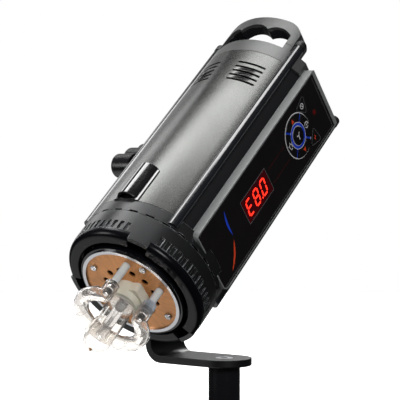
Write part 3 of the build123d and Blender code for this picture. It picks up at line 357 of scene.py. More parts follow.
@dataclass(frozen=True)
class Paint(Finish):
    """Satin metallic paint: fine bright specks, faint orange peel, and edges painted lighter, partly as wear
    and partly as a painted highlight.
    """

    metallic: float = 0.35
    speck: float = 0.5
    edge_mm: float = 0.45
    edge_wear_and_glint: float = 0.35
    coat: float = 0.15
    wear_and_glint_lightness: float = 2.2

    def draw(self, graph: Graph) -> None:
        """Draws the paint.

        Args:
            graph: The material's node tree.
        """
        at = graph.place()
        specks = graph.noise(at, 2600.0, 1.0, 0.4).above(0.52, 0.72)
        clouds = graph.noise(at, 28.0, 3.0)
        rounded = graph.round_edges(self.edge_mm)
        # Edges are painted lighter here: partly wear, partly a painted highlight that stands in for glints
        # along the edges.
        edge = graph.edge_mask(rounded) * graph.noise(at, 160.0, 3.0).above(0.35, 0.6)
        base = graph.mix(specks * self.speck, times(self.colour, 0.86), times(self.colour, 1.75))
        base = graph.mix(clouds.above(0.35, 0.75) * 0.35, base, times(self.colour, 0.9))
        base = graph.mix(edge * self.edge_wear_and_glint, base, times(self.colour, self.wear_and_glint_lightness))
        peel = graph.noise(at, 700.0, 2.0)
        graph.finish(Base_Color=base, Metallic=self.metallic, Coat_Weight=self.coat, Coat_Roughness=0.22,
                     Roughness=clouds * 0.10 + specks * 0.06 + (self.rough - 0.07),
                     Normal=graph.bump(peel, 0.10, 0.05, rounded))


@dataclass(frozen=True)
class Moulding(Finish):
    """Glossy or satin moulded plastic, with handling smudges and hairline scratches."""

    grain: float = 0.0
    grain_scale: float = 1500.0
    smudge: float = 0.16
    edge_mm: float = 0.4
    coat: float = 0.0
    gloss: float = 0.5

    def draw(self, graph: Graph) -> None:
        """Draws the plastic.

        Args:
            graph: The material's node tree.
        """
        at = graph.place()
        smudges = graph.noise(at, 42.0, 4.0, 0.6).above(0.35, 0.8)
        hairs = graph.noise(graph.place((1.0, 14.0, 1.0), True), 180.0, 3.0, 0.6).above(0.55, 0.8)
        rounded = graph.round_edges(self.edge_mm)
        base = graph.mix(smudges * 0.5, self.colour, times(self.colour, 1.5))
        height = graph.noise(at, self.grain_scale, 2.0) * self.grain + graph.noise(at, 90.0, 2.0) * 0.04
        graph.finish(Base_Color=base, Coat_Weight=self.coat, Coat_Roughness=0.06,
                     Specular_IOR_Level=self.gloss,
                     Roughness=smudges * self.smudge + hairs * 0.05 + self.rough,
                     Normal=graph.bump(height, 0.5, 0.08, rounded))


@dataclass(frozen=True)
class Metal(Finish):
    """Bare or plated metal with fine machining lines along one direction."""

    lines: tuple[float, float, float] = (1.0, 18.0, 1.0)
    tarnish: Colour = (0.4, 0.36, 0.32)
    edge_mm: float = 0.25

    def draw(self, graph: Graph) -> None:
        """Draws the metal.

        Args:
            graph: The material's node tree.
        """
        streaks = graph.noise(graph.place(self.lines, True), 320.0, 4.0, 0.6)
        stains = graph.noise(graph.place(), 70.0, 4.0, 0.55).above(0.5, 0.85)
        base = graph.mix(stains * 0.4, self.colour, self.tarnish)
        graph.finish(Base_Color=base, Metallic=1.0,
                     Roughness=streaks * 0.16 + stains * 0.12 + (self.rough - 0.08),
                     Normal=graph.bump(streaks, 0.18, 0.03, graph.round_edges(self.edge_mm)))


@dataclass(frozen=True)
class CopperPlate(Finish):
    """The reflector plate: copper-coloured metal scratched outwards from its centre."""

    axis: tuple[float, float, float] = (0.0, 0.0, 0.0)

    def draw(self, graph: Graph) -> None:
        """Draws the plate.

        Args:
            graph: The material's node tree.
        """
        at = graph.place((1, 1, 1), True)
        centre = Matrix.Rotation(-math.radians(HEAD.tilt_deg), 3, "X") @ HEAD.point(*self.axis)
        off = graph.node("ShaderNodeVectorMath", {"operation": "SUBTRACT"}, {0: at, 1: centre})
        x = graph.node("ShaderNodeSeparateXYZ", {}, {0: off}, output="X")
        u = graph.node("ShaderNodeSeparateXYZ", {}, {0: off}, output="Z")
        turn = graph.node("ShaderNodeMath", {"operation": "ARCTAN2"}, {0: x, 1: u})
        reach = graph.node("ShaderNodeVectorMath", {"operation": "LENGTH"}, {0: off}, output="Value")
        fan = graph.node("ShaderNodeCombineXYZ", {}, {"X": turn * 55.0, "Y": reach * 60.0, "Z": 0.3})
        rays = graph.noise(fan, 1.0, 4.0, 0.7)
        stains = graph.noise(at, 60.0, 4.0, 0.6).above(0.45, 0.8)
        base = graph.mix(rays.above(0.35, 0.75), times(self.colour, 0.80), times(self.colour, 1.22))
        base = graph.mix(stains * 0.45, base, (0.42, 0.20, 0.09))
        graph.finish(Base_Color=base, Metallic=0.5, Roughness=rays * 0.22 + self.rough - 0.11,
                     Normal=graph.bump(rays, 0.22, 0.05, graph.round_edges(0.3)))


@dataclass(frozen=True)
class Ceramic(Finish):
    """Fired ceramic: faint mottling and a dry, slightly uneven skin."""

    def draw(self, graph: Graph) -> None:
        """Draws the ceramic.

        Args:
            graph: The material's node tree.
        """
        at = graph.place()
        mottle = graph.noise(at, 260.0, 4.0, 0.6)
        soot = graph.noise(at, 55.0, 2.0).above(0.55, 0.85)
        base = graph.mix(mottle, times(self.colour, 0.93), times(self.colour, 1.04))
        base = graph.mix(soot * 0.25, base, times(self.colour, 0.72))
        graph.finish(Base_Color=base, Roughness=mottle * 0.2 + self.rough, Subsurface_Weight=0.06,
                     Normal=graph.bump(mottle, 0.25, 0.05, graph.round_edges(0.5)))


@dataclass(frozen=True)
class Glass(Finish):
    """Drawn glass, with the slow waviness of a tube bent by hand."""

    wave: float = 0.25
    index: float = 1.46
    clear: float = 0.93

    def draw(self, graph: Graph) -> None:
        """Draws the glass.

        Args:
            graph: The material's node tree.
        """
        waves = graph.noise(graph.place(), 95.0, 1.0)
        film = graph.noise(graph.place(), 40.0, 3.0).above(0.5, 0.9)
        base = graph.mix(film * 0.5, self.colour, times(self.colour, 0.94))
        graph.finish(Base_Color=base, Roughness=film * 0.04 + self.rough, IOR=self.index,
                     Transmission_Weight=self.clear, Normal=graph.bump(waves, self.wave, 0.25))


@dataclass(frozen=True)
class Glow(Finish):
    """A lit surface, a little uneven across it."""

    strength: float = 4.0

    def draw(self, graph: Graph) -> None:
        """Draws the light.

        Args:
            graph: The material's node tree.
        """
        uneven = graph.noise(graph.place(), 380.0, 2.0)
        lit = graph.mix(uneven, times(self.colour, 0.85), self.colour)
        graph.finish(Base_Color=times(self.colour, 0.3), Roughness=0.4, Emission_Color=lit,
                     Emission_Strength=self.strength)


@dataclass(frozen=True)
class Ink(Finish):
    """Screen-printed ink, very slightly broken at its grain."""

    def draw(self, graph: Graph) -> None:
        """Draws the ink.

        Args:
            graph: The material's node tree.
        """
        grain = graph.noise(graph.place(), 2200.0, 2.0)
        base = graph.mix(grain.above(0.3, 0.7) * 0.35, self.colour, times(self.colour, 0.72))
        graph.finish(Base_Color=base, Roughness=grain * 0.15 + self.rough,
                     Normal=graph.bump(grain, 0.2, 0.02))


@dataclass(frozen=True)
class Board(Finish):
    """A circuit board: solder mask over copper tracks, and tinned pads."""

    def draw(self, graph: Graph) -> None:
        """Draws the board.

        Args:
            graph: The material's node tree.
        """
        at = graph.place((1, 1, 1), True)
        brick = graph.node("ShaderNodeTexBrick", {"offset": 0.37}, {
            "Vector": at, "Scale": 160.0, "Mortar Size": 0.03, "Color1": (1, 1, 1), "Color2": (0.6, 0.6, 0.6),
            "Mortar": (0, 0, 0)}, output="Fac")
        dots = graph.node("ShaderNodeTexVoronoi", {}, {"Vector": at, "Scale": 320.0}, output="Distance")
        pads = 1.0 - dots.above(0.16, 0.2)
        base = graph.mix(brick * 0.7, self.colour, times(self.colour, 2.0))
        base = graph.mix(pads, base, (0.72, 0.70, 0.62))
        graph.finish(Base_Color=base, Metallic=pads * 0.8, Roughness=pads * -0.1 + self.rough,
                     Normal=graph.bump(pads + brick * 0.3, 0.4, 0.05))


COVER_GREY = Paint("cover_paint", (0.088, 0.090, 0.086), 0.27, metallic=0.85, speck=0.22)
CAP_GREY = Paint("cap_paint", (0.115, 0.118, 0.115), 0.38, metallic=0.5, speck=0.4)
BOX_GREY = Paint("box_paint", (0.30, 0.31, 0.31), 0.42, metallic=0.15, speck=0.35, edge_mm=0.7)
# The collar and bayonet ring paint their edges 28 times lighter, which is mostly a painted glint along each
# rib edge.
COLLAR_GREY = Paint("collar_paint", (0.022, 0.023, 0.024), 0.34, metallic=0.5, speck=0.35,
                    edge_mm=0.75, edge_wear_and_glint=1.0, wear_and_glint_lightness=28.0)
HOUSING_BLACK = Paint("housing_paint", (0.006, 0.0065, 0.008), 0.34, metallic=0.1, speck=0.25, edge_wear_and_glint=0.2)
BRACKET_BLACK = Paint("bracket_coat", (0.006, 0.006, 0.0075), 0.42, metallic=0.05, speck=0.2,
                      edge_mm=0.9, edge_wear_and_glint=0.25)
ROD_BLACK = Moulding("rod_lacquer", (0.010, 0.011, 0.014), 0.13, smudge=0.08, coat=0.5)
SOCKET_BLACK = Moulding("socket_lacquer", (0.008, 0.008, 0.010), 0.16, smudge=0.1, coat=0.4)
LIP_BLACK = Moulding("lip_gloss", (0.004, 0.004, 0.006), 0.20, smudge=0.12, coat=0.05, gloss=0.16)
DRUM_BLACK = Moulding("drum_gloss", (0.004, 0.004, 0.006), 0.16, smudge=0.12, coat=0.2, gloss=0.4)
CATCH_BLACK = Moulding("catch_gloss", (0.006, 0.006, 0.007), 0.10, smudge=0.06, coat=0.6)
GRIP_BLACK = Moulding("grip_rubber", (0.010, 0.010, 0.012), 0.22, grain=0.25, smudge=0.14, edge_mm=1.2)
PANEL_BLACK = Moulding("panel_film", (0.0065, 0.0052, 0.0055), 0.28, grain=0.15, smudge=0.06)
KEY_BLACK = Moulding("key_film", (0.0045, 0.0042, 0.0045), 0.30, grain=0.2, smudge=0.08, edge_mm=0.3)
WINDOW_RED = Moulding("window_red", (0.075, 0.0015, 0.004), 0.16, smudge=0.04)
PLASTIC_BLACK = Moulding("grained_plastic", (0.012, 0.012, 0.013), 0.42, grain=0.6, smudge=0.12)
KNOB_BLACK = Moulding("knob_plastic", (0.010, 0.010, 0.012), 0.24, grain=0.35, smudge=0.14,
                      edge_mm=0.8, coat=0.2)
SLAVE_RED = Moulding("sensor_red", (0.28, 0.006, 0.006), 0.12, smudge=0.05, coat=0.5)
CAN_BLUE = Moulding("can_sleeve", (0.02, 0.04, 0.16), 0.3, smudge=0.1)
FIBRE = Moulding("friction_fibre", (0.10, 0.05, 0.03), 0.7, grain=0.9)
BRIGHT = Metal("bright_steel", (0.72, 0.72, 0.73), 0.26)
RIM = Metal("rim_chrome", (0.62, 0.62, 0.64), 0.18, tarnish=(0.45, 0.45, 0.47))
DARK_METAL = Metal("dark_metal", (0.10, 0.095, 0.09), 0.4)
ZINC = Metal("zinc_steel", (0.55, 0.56, 0.58), 0.34)
BRASS = Metal("pin_brass", (0.72, 0.60, 0.36), 0.26)
COIL_IRON = Metal("coil_core", (0.16, 0.13, 0.11), 0.5, lines=(90.0, 1.0, 1.0))
TUNGSTEN = Metal("tungsten", (0.42, 0.41, 0.40), 0.3)
COPPER_TIP = Metal("copper_tip", (0.72, 0.36, 0.16), 0.3)
PLATE_COPPER = CopperPlate("plate_copper", (0.80, 0.36, 0.13), 0.36, axis=(0.0, 165.6, 0.0))
CREAM = Ceramic("cream_ceramic", (0.84, 0.79, 0.66), 0.4)
WHITE = Ceramic("white_ceramic", (0.88, 0.88, 0.86), 0.35)
CLEAR = Glass("clear_glass", (0.92, 0.895, 0.865), 0.0, wave=0.35, clear=0.96)
CAPSULE_GLASS = Glass("capsule_glass", (0.99, 0.99, 1.0), 0.02, wave=0.15)
BOOT_GREY = Glass("silicone_boot", (0.60, 0.63, 0.68), 0.5, wave=0.1, index=1.41)
BOARD_GREEN = Board("board_green", (0.01, 0.07, 0.035), 0.4)
DIGIT_RED = Glow("digit_red", (1.0, 0.025, 0.012), strength=2.4)
LAMP_RED = Moulding("ready_red", (0.16, 0.006, 0.006), 0.25, smudge=0.05)
DOT_RED = Ink("dot_red", (0.13, 0.004, 0.004), 0.4)
INK_WHITE = Ink("ink_white", (0.84, 0.84, 0.86), 0.4)
INK_GREY = Ink("ink_grey", (0.13, 0.13, 0.14), 0.4)
INK_BLUE = Ink("ink_blue", (0.016, 0.070, 0.72), 0.35)
INK_RED = Ink("ink_red", (0.90, 0.075, 0.02), 0.35)


# ---- mesh making ---------------------------------------------------------------------------


class Sculptor:
    """Makes meshes and hangs them on the CAD bodies."""

    def __init__(self, frame: dict[str, Any]) -> None:
        """Keeps the loaded frame."""
        self.nodes: dict[str, bpy.types.Object] = frame["nodes"]
        self.made = 0

    def dress(self, finish: Finish, *names: str) -> None:
        """Gives CAD nodes a finish.

        Args:
            finish: The finish.
            names: The nodes.
        """
        for name in names:
            for slot in self.nodes[name].material_slots:
                slot.link = "OBJECT"
                slot.material = finish.material()

    def soften(self, width_mm: float, *names: str, angle_deg: float = 40.0) -> None:
        """Rounds the sharp edges of CAD nodes with modifiers, which leave their meshes alone.

        Args:
            width_mm: How wide the rounding is.
            names: The nodes.
            angle_deg: Edges sharper than this are rounded.
        """
        for name in names:
            node = self.nodes[name]
            weld = node.modifiers.new("join", "WELD")
            weld.merge_threshold = 0.00002
            bevel = node.modifiers.new("round", "BEVEL")
            bevel.width, bevel.segments, bevel.limit_method = width_mm * MM, 3, "ANGLE"
            bevel.angle_limit, bevel.harden_normals = math.radians(angle_deg), False
            bevel.use_clamp_overlap = True
            normals = node.modifiers.new("shade", "WEIGHTED_NORMAL")
            normals.keep_sharp, normals.weight = False, 80

    def hang(self, name: str, mesh: bmesh.types.BMesh, finish: Finish, body: str,
             replaces: Sequence[str] = (), smooth: bool = True) -> bpy.types.Object:
        """Turns a mesh into a piece that rides on a body.

        Args:
            name: The piece's name.
            mesh: The mesh, in metres and in place.
            finish: Its finish.
            body: The CAD body it moves with.
            replaces: CAD nodes it stands for.
            smooth: Whether its faces shade smoothly.

        Returns:
            The new object.
        """
        bmesh.ops.remove_doubles(mesh, verts=mesh.verts, dist=1e-7)
        bmesh.ops.recalc_face_normals(mesh, faces=mesh.faces)
        data = bpy.data.meshes.new(name)
        mesh.to_mesh(data)
        mesh.free()
        piece = bpy.data.objects.new(name, data)
        bpy.context.scene.collection.objects.link(piece)
        data.materials.append(finish.material())
        if smooth:
            data.shade_smooth()
            data.set_sharp_from_angle(angle=math.radians(38))
        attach(piece, body)
        if replaces:
            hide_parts(*replaces)
        self.made += 1
        LOG.info("%s: %d faces on %s", name, len(data.polygons), body)
        return piece

    @staticmethod
    def lathe(into: bmesh.types.BMesh, place: Matrix, profile: Sequence[Point], sides: int = 48) -> None:
        """Turns a closed profile of (radius, height) round local Z.

        Args:
            into: The mesh it is added to.
            place: Where local Z stands.
            profile: Its corners in millimetres, the last joined to the first.
            sides: Steps in the turn.
        """
        rings = []
        for radius, height in profile:
            if radius < 1e-6:
                rings.append([into.verts.new(place @ Vector((0, 0, height * MM)))] * sides)
                continue
            turns = [2 * math.pi * i / sides for i in range(sides)]
            rings.append([into.verts.new(place @ Vector((
                radius * MM * math.cos(turn), radius * MM * math.sin(turn), height * MM))) for turn in turns])
        for ring, after in zip(rings, rings[1:] + rings[:1]):
            for i in range(sides):
                j = (i + 1) % sides
                corners = list(dict.fromkeys((ring[i], ring[j], after[j], after[i])))
                if len(corners) > 2:
                    into.faces.new(corners)

    @staticmethod
    def thread(into: bmesh.types.BMesh, path: Sequence[Vector], radius_mm: float, sides: int = 8) -> None:
        """Runs a round wire along points in metres, with closed ends.

        Args:
            into: The mesh it is added to.
            path: The points.
            radius_mm: The wire's radius.
            sides: Faces round it.
        """
        rings, up = [], Vector((0.31, 0.22, 0.93)).normalized()
        for i, point in enumerate(path):
            along = (path[min(i + 1, len(path) - 1)] - path[max(i - 1, 0)]).normalized()
            side = along.cross(up) if abs(along.dot(up)) < 0.99 else along.orthogonal()
            side.normalize()
            up = side.cross(along).normalized()
            rings.append([into.verts.new(point + radius_mm * MM * (
                side * math.cos(2 * math.pi * k / sides) + up * math.sin(2 * math.pi * k / sides)))
                for k in range(sides)])
        for ring, after in zip(rings, rings[1:]):
            for k in range(sides):
                into.faces.new((ring[k], ring[(k + 1) % sides], after[(k + 1) % sides], after[k]))
        into.faces.new(rings[0][::-1])
        into.faces.new(rings[-1])

    @staticmethod
    def plate(into: bmesh.types.BMesh, place: Callable[[float, float, float], Vector],
              outline: Sequence[Point], height_mm: float, inset: float = 0.12) -> None:
        """A flat shape with a slightly drawn-in top edge, standing up from a plane.

        Args:
            into: The mesh it is added to.
            place: Turns two in-plane numbers and a height, in millimetres, into a point.
            outline: The shape's corners.
            height_mm: How far it stands up.
            inset: How much smaller its top is, as a share of the height.
        """
        middle = Vector((sum(p[0] for p in outline), sum(p[1] for p in outline))) / len(outline)
        low = [into.verts.new(place(p[0], p[1], 0.0)) for p in outline]
        drawn = [Vector(p) + (middle - Vector(p)).normalized() * height_mm * inset for p in outline]
        top = [into.verts.new(place(p[0], p[1], height_mm)) for p in drawn]
        for i in range(len(outline)):
            j = (i + 1) % len(outline)
            into.faces.new((low[i], low[j], top[j], top[i]))
        into.faces.new(top)
        into.faces.new(low[::-1])

    @staticmethod
    def band(into: bmesh.types.BMesh, place: Callable[[float, float, float], Vector], line: Sequence[Point],
             width: float | Sequence[float], height_mm: float, closed: bool = False) -> None:
        """A printed line of a given width along points in a plane, with a flat top.

        Args:
            into: The mesh it is added to.
            place: Turns two in-plane numbers and a height into a point.
            line: The points.
            width: Its width, or one for each point.
            height_mm: How far it stands up.
            closed: Whether the end joins the start.
        """
        count, rows = len(line), []
        for i, point in enumerate(line):
            before = line[(i - 1) % count] if closed else line[max(i - 1, 0)]
            after = line[(i + 1) % count] if closed else line[min(i + 1, count - 1)]
            along = Vector((after[0] - before[0], after[1] - before[1])).normalized()
            half = (width if isinstance(width, (int, float)) else width[i]) / 2
            side = Vector((-along.y, along.x)) * half
            left, right = Vector(point) + side, Vector(point) - side
            rows.append([into.verts.new(place(p.x, p.y, h)) for p, h in (
                (left, 0.0), (left, height_mm), (right, height_mm), (right, 0.0))])
        pairs = list(zip(rows, rows[1:] + rows[:1])) if closed else list(zip(rows, rows[1:]))
        for row, after_row in pairs:
            for k in range(4):
                m = (k + 1) % 4
                into.faces.new((row[k], row[m], after_row[m], after_row[k]))
        if not closed:
            into.faces.new(rows[0][::-1])
            into.faces.new(rows[-1])


def arc(centre: Point, radius: float, first: float, last: float, steps: int = 24) -> list[Point]:
    """Points on an arc, its angles in degrees from the first in-plane direction.

    Args:
        centre: Its centre.
        radius: Its radius.
        first: The angle it starts at.
        last: The angle it ends at.
        steps: How many steps it has.

    Returns:
        The points, both ends among them.
    """
    return [(centre[0] + radius * math.cos(math.radians(first + (last - first) * i / steps)),
             centre[1] + radius * math.sin(math.radians(first + (last - first) * i / steps)))
            for i in range(steps + 1)]


def ring_of(centre: Point, radius: float, steps: int = 72) -> list[Point]:
    """A whole circle, without its last point twice."""
    return arc(centre, radius, 0, 360, steps)[:-1]


# ---- sub-assemblies --------------------------------------------------------------------------


@dataclass
class Shells:
    """The barrel's painted shells, rods, collar, ring and cap."""

    def dress(self, maker: Sculptor) -> None:
        """Gives each shell, and what is fixed to it, its finish.

        Args:
            maker: The sculptor.
        """
        maker.dress(COVER_GREY, "top_cover")
        maker.dress(CAP_GREY, "rear_cap", "handle_shell")
        maker.dress(BOX_GREY, "control_box")
        maker.dress(HOUSING_BLACK, "lower_housing")
        maker.dress(ROD_BLACK, "side_rods")
        maker.dress(PLASTIC_BLACK, "rod_caps", "tilt_hub")
        maker.dress(COLLAR_GREY, "front_collar", "bayonet_ring")
        maker.dress(LIP_BLACK, "ring_lip")
        maker.dress(DRUM_BLACK, "lamp_drum")
        maker.dress(GRIP_BLACK, "handle_grip")
        maker.dress(CATCH_BLACK, "release_catch", "catch_track")
        maker.dress(BRIGHT, "catch_spring")


@dataclass
class LampHead:
    """The plate, the ceramic holder, the modelling lamp and the flash tube."""

    base_front: float = 182.6
    capsule_r: float = 4.6
    capsule_wall: float = 0.7
    capsule_front: float = 219.0
    coil_r: float = 1.3
    coil_from: float = 196.0
    coil_to: float = 210.0
    coil_turns: int = 11
    coil_steps: int = 14
    coil_wire: float = 0.22
    lamp_tip: float = 231.5
    tube_x: float = 3.0
    tube_u: float = 3.0
    tube_ring_r: float = 28.0
    tube_r: float = 6.0
    tube_a: float = 200.0
    legs: tuple[float, float] = (17.0, 90.0)
    wire_r: float = 0.17
    wire_turns: int = 9
    wire_gap: float = 0.22
    wire_end_deg: float = 12.0
    boot_r: float = 5.6
    boot_bore: float = 3.4
    boot_from: float = 181.0
    boot_to: float = 191.0
    cap_r: float = 3.5
    cap_neck: float = 2.2

    def leg(self, i: int) -> Point:
        """The centre of one leg in x and u.

        Args:
            i: Which leg, 0 or 1.

        Returns:
            Its place in millimetres.
        """
        turn = math.radians(self.legs[i])
        across, up = self.tube_ring_r * math.sin(turn), self.tube_ring_r * math.cos(turn)
        return self.tube_x + across, self.tube_u + up

    def dress(self, maker: Sculptor) -> None:
        """Gives the lamp's CAD nodes their finishes.

        Args:
            maker: The sculptor.
        """
        maker.dress(PLATE_COPPER, "reflector_plate")
        maker.dress(RIM, "plate_rim")
        maker.dress(BRIGHT, "plate_screws", "drum_screws", "holder_screws", "lamp_base")
        maker.dress(CREAM, "lamp_holder")
        maker.dress(WHITE, "tube_posts")
        maker.dress(CLEAR, "lamp_glass", "flash_tube")
        maker.dress(DARK_METAL, "tube_electrodes")

    def build(self, maker: Sculptor) -> None:
        """Adds the halogen capsule, its coil, the trigger wire, the tip and the boot.

        Args:
            maker: The sculptor.
        """
        place = HEAD.matrix(0, 0, 0)
        wall, end = self.capsule_wall, self.capsule_front - self.capsule_r
        outer = [(self.capsule_r, self.base_front + 1)] + [
            (self.capsule_r * math.cos(math.radians(t)), end + self.capsule_r * math.sin(math.radians(t)))
            for t in range(0, 90, 12)] + [(0, self.capsule_front)]
        inner_r = self.capsule_r - wall
        inner = [(0, self.capsule_front - wall)] + [
            (inner_r * math.cos(math.radians(t)), end + inner_r * math.sin(math.radians(t)))
            for t in range(84, -1, -12)] + [(inner_r, self.base_front + 3)]
        capsule = bmesh.new()
        maker.lathe(capsule, place, outer + inner, 40)
        maker.hang("halogen_capsule", capsule, CAPSULE_GLASS, "head", ("lamp_capsule",))
        coil = bmesh.new()
        steps = self.coil_turns * self.coil_steps
        step = 2 * math.pi / self.coil_steps
        path = [HEAD.point(self.coil_r * math.cos(step * i),
                           self.coil_from + (self.coil_to - self.coil_from) * i / steps,
                           self.coil_r * math.sin(step * i)) for i in range(steps + 1)]
        maker.thread(coil, path, self.coil_wire, 6)
        for side, top in ((1, self.coil_from), (-1, self.coil_to)):
            lead = [HEAD.point(side * self.coil_r, self.base_front - 1, 0),
                    HEAD.point(side * 1.9, self.base_front + 7, 0.2),
                    HEAD.point(side * 2.1, top - 4, 0.3),
                    HEAD.point(side * self.coil_r, top, 0.0)]
            maker.thread(coil, lead, 0.2, 6)
        maker.hang("lamp_filament", coil, TUNGSTEN, "head")
        pinch = bmesh.new()
        pinch_shape = ((0, 0), (3.9, 0), (4.2, 2.5), (3.2, 5.0), (0, 5.6))
        maker.lathe(pinch, place, [(r, self.base_front + a) for r, a in pinch_shape], 24)
        maker.hang("lamp_pinch", pinch, WHITE, "head")
        tip = bmesh.new()
        tip_shape = ((0, -1.2), (1.5, -0.7), (1.1, 0.5), (0.5, 1.3), (0, 1.6))
        maker.lathe(tip, place, [(r, self.lamp_tip + a) for r, a in tip_shape], 20)
        maker.hang("lamp_seal", tip, COPPER_TIP, "head")
        self.trigger_wire(maker)
        self.boots(maker)

    def trigger_wire(self, maker: Sculptor) -> None:
        """Winds the thin trigger wire round the flash tube.

        Args:
            maker: The sculptor.
        """
        first, last = self.legs[1] + self.wire_end_deg, 360 + self.legs[0] - self.wire_end_deg
        steps, off = 260, self.tube_r + self.wire_gap
        path = []
        for i in range(steps + 1):
            along = math.radians(first + (last - first) * i / steps)
            winding = 2 * math.pi * self.wire_turns * i / steps
            r = self.tube_ring_r + off * math.cos(winding)
            path.append(HEAD.point(self.tube_x + r * math.sin(along),
                                   self.tube_a + off * math.sin(winding),
                                   self.tube_u + r * math.cos(along)))
        wire = bmesh.new()
        maker.thread(wire, path, self.wire_r, 6)
        maker.hang("trigger_wire", wire, BRIGHT, "head")

    def boots(self, maker: Sculptor) -> None:
        """The silicone sleeve of the second leg and the metal caps in both legs.

        Args:
            maker: The sculptor.
        """
        boot = bmesh.new()
        x, u = self.leg(1)
        lip_r, r, low, high = self.boot_r - 0.4, self.boot_r, self.boot_from, self.boot_to
        maker.lathe(boot, HEAD.matrix(x, 0, u), [
            (self.boot_bore, low), (lip_r, low), (r, low + 0.6), (r, high - 0.6), (lip_r, high),
            (self.boot_bore, high)], 32)
        maker.hang("tube_boot", boot, BOOT_GREY, "head")
        caps = bmesh.new()
        for i in (0, 1):
            x, u = self.leg(i)
            maker.lathe(caps, HEAD.matrix(x, 0, u), [
                (0, 191.2), (self.cap_r - 0.2, 191.2), (self.cap_r, 191.8), (self.cap_r, 194.0),
                (self.cap_neck, 195.2), (self.cap_neck, 199.0), (1.4, 200.4), (0, 200.8)], 28)
        maker.hang("electrode_caps", caps, BRIGHT, "head")


class Segment(Enum):
    """The seven strokes of a digit, as their ends in a cell 1 wide and 2 high."""

    TOP = ((0, 2), (1, 2))
    UPPER_LEFT = ((0, 1), (0, 2))
    UPPER_RIGHT = ((1, 1), (1, 2))
    MIDDLE = ((0, 1), (1, 1))
    LOWER_LEFT = ((0, 0), (0, 1))
    LOWER_RIGHT = ((1, 0), (1, 1))
    BOTTOM = ((0, 0), (1, 0))


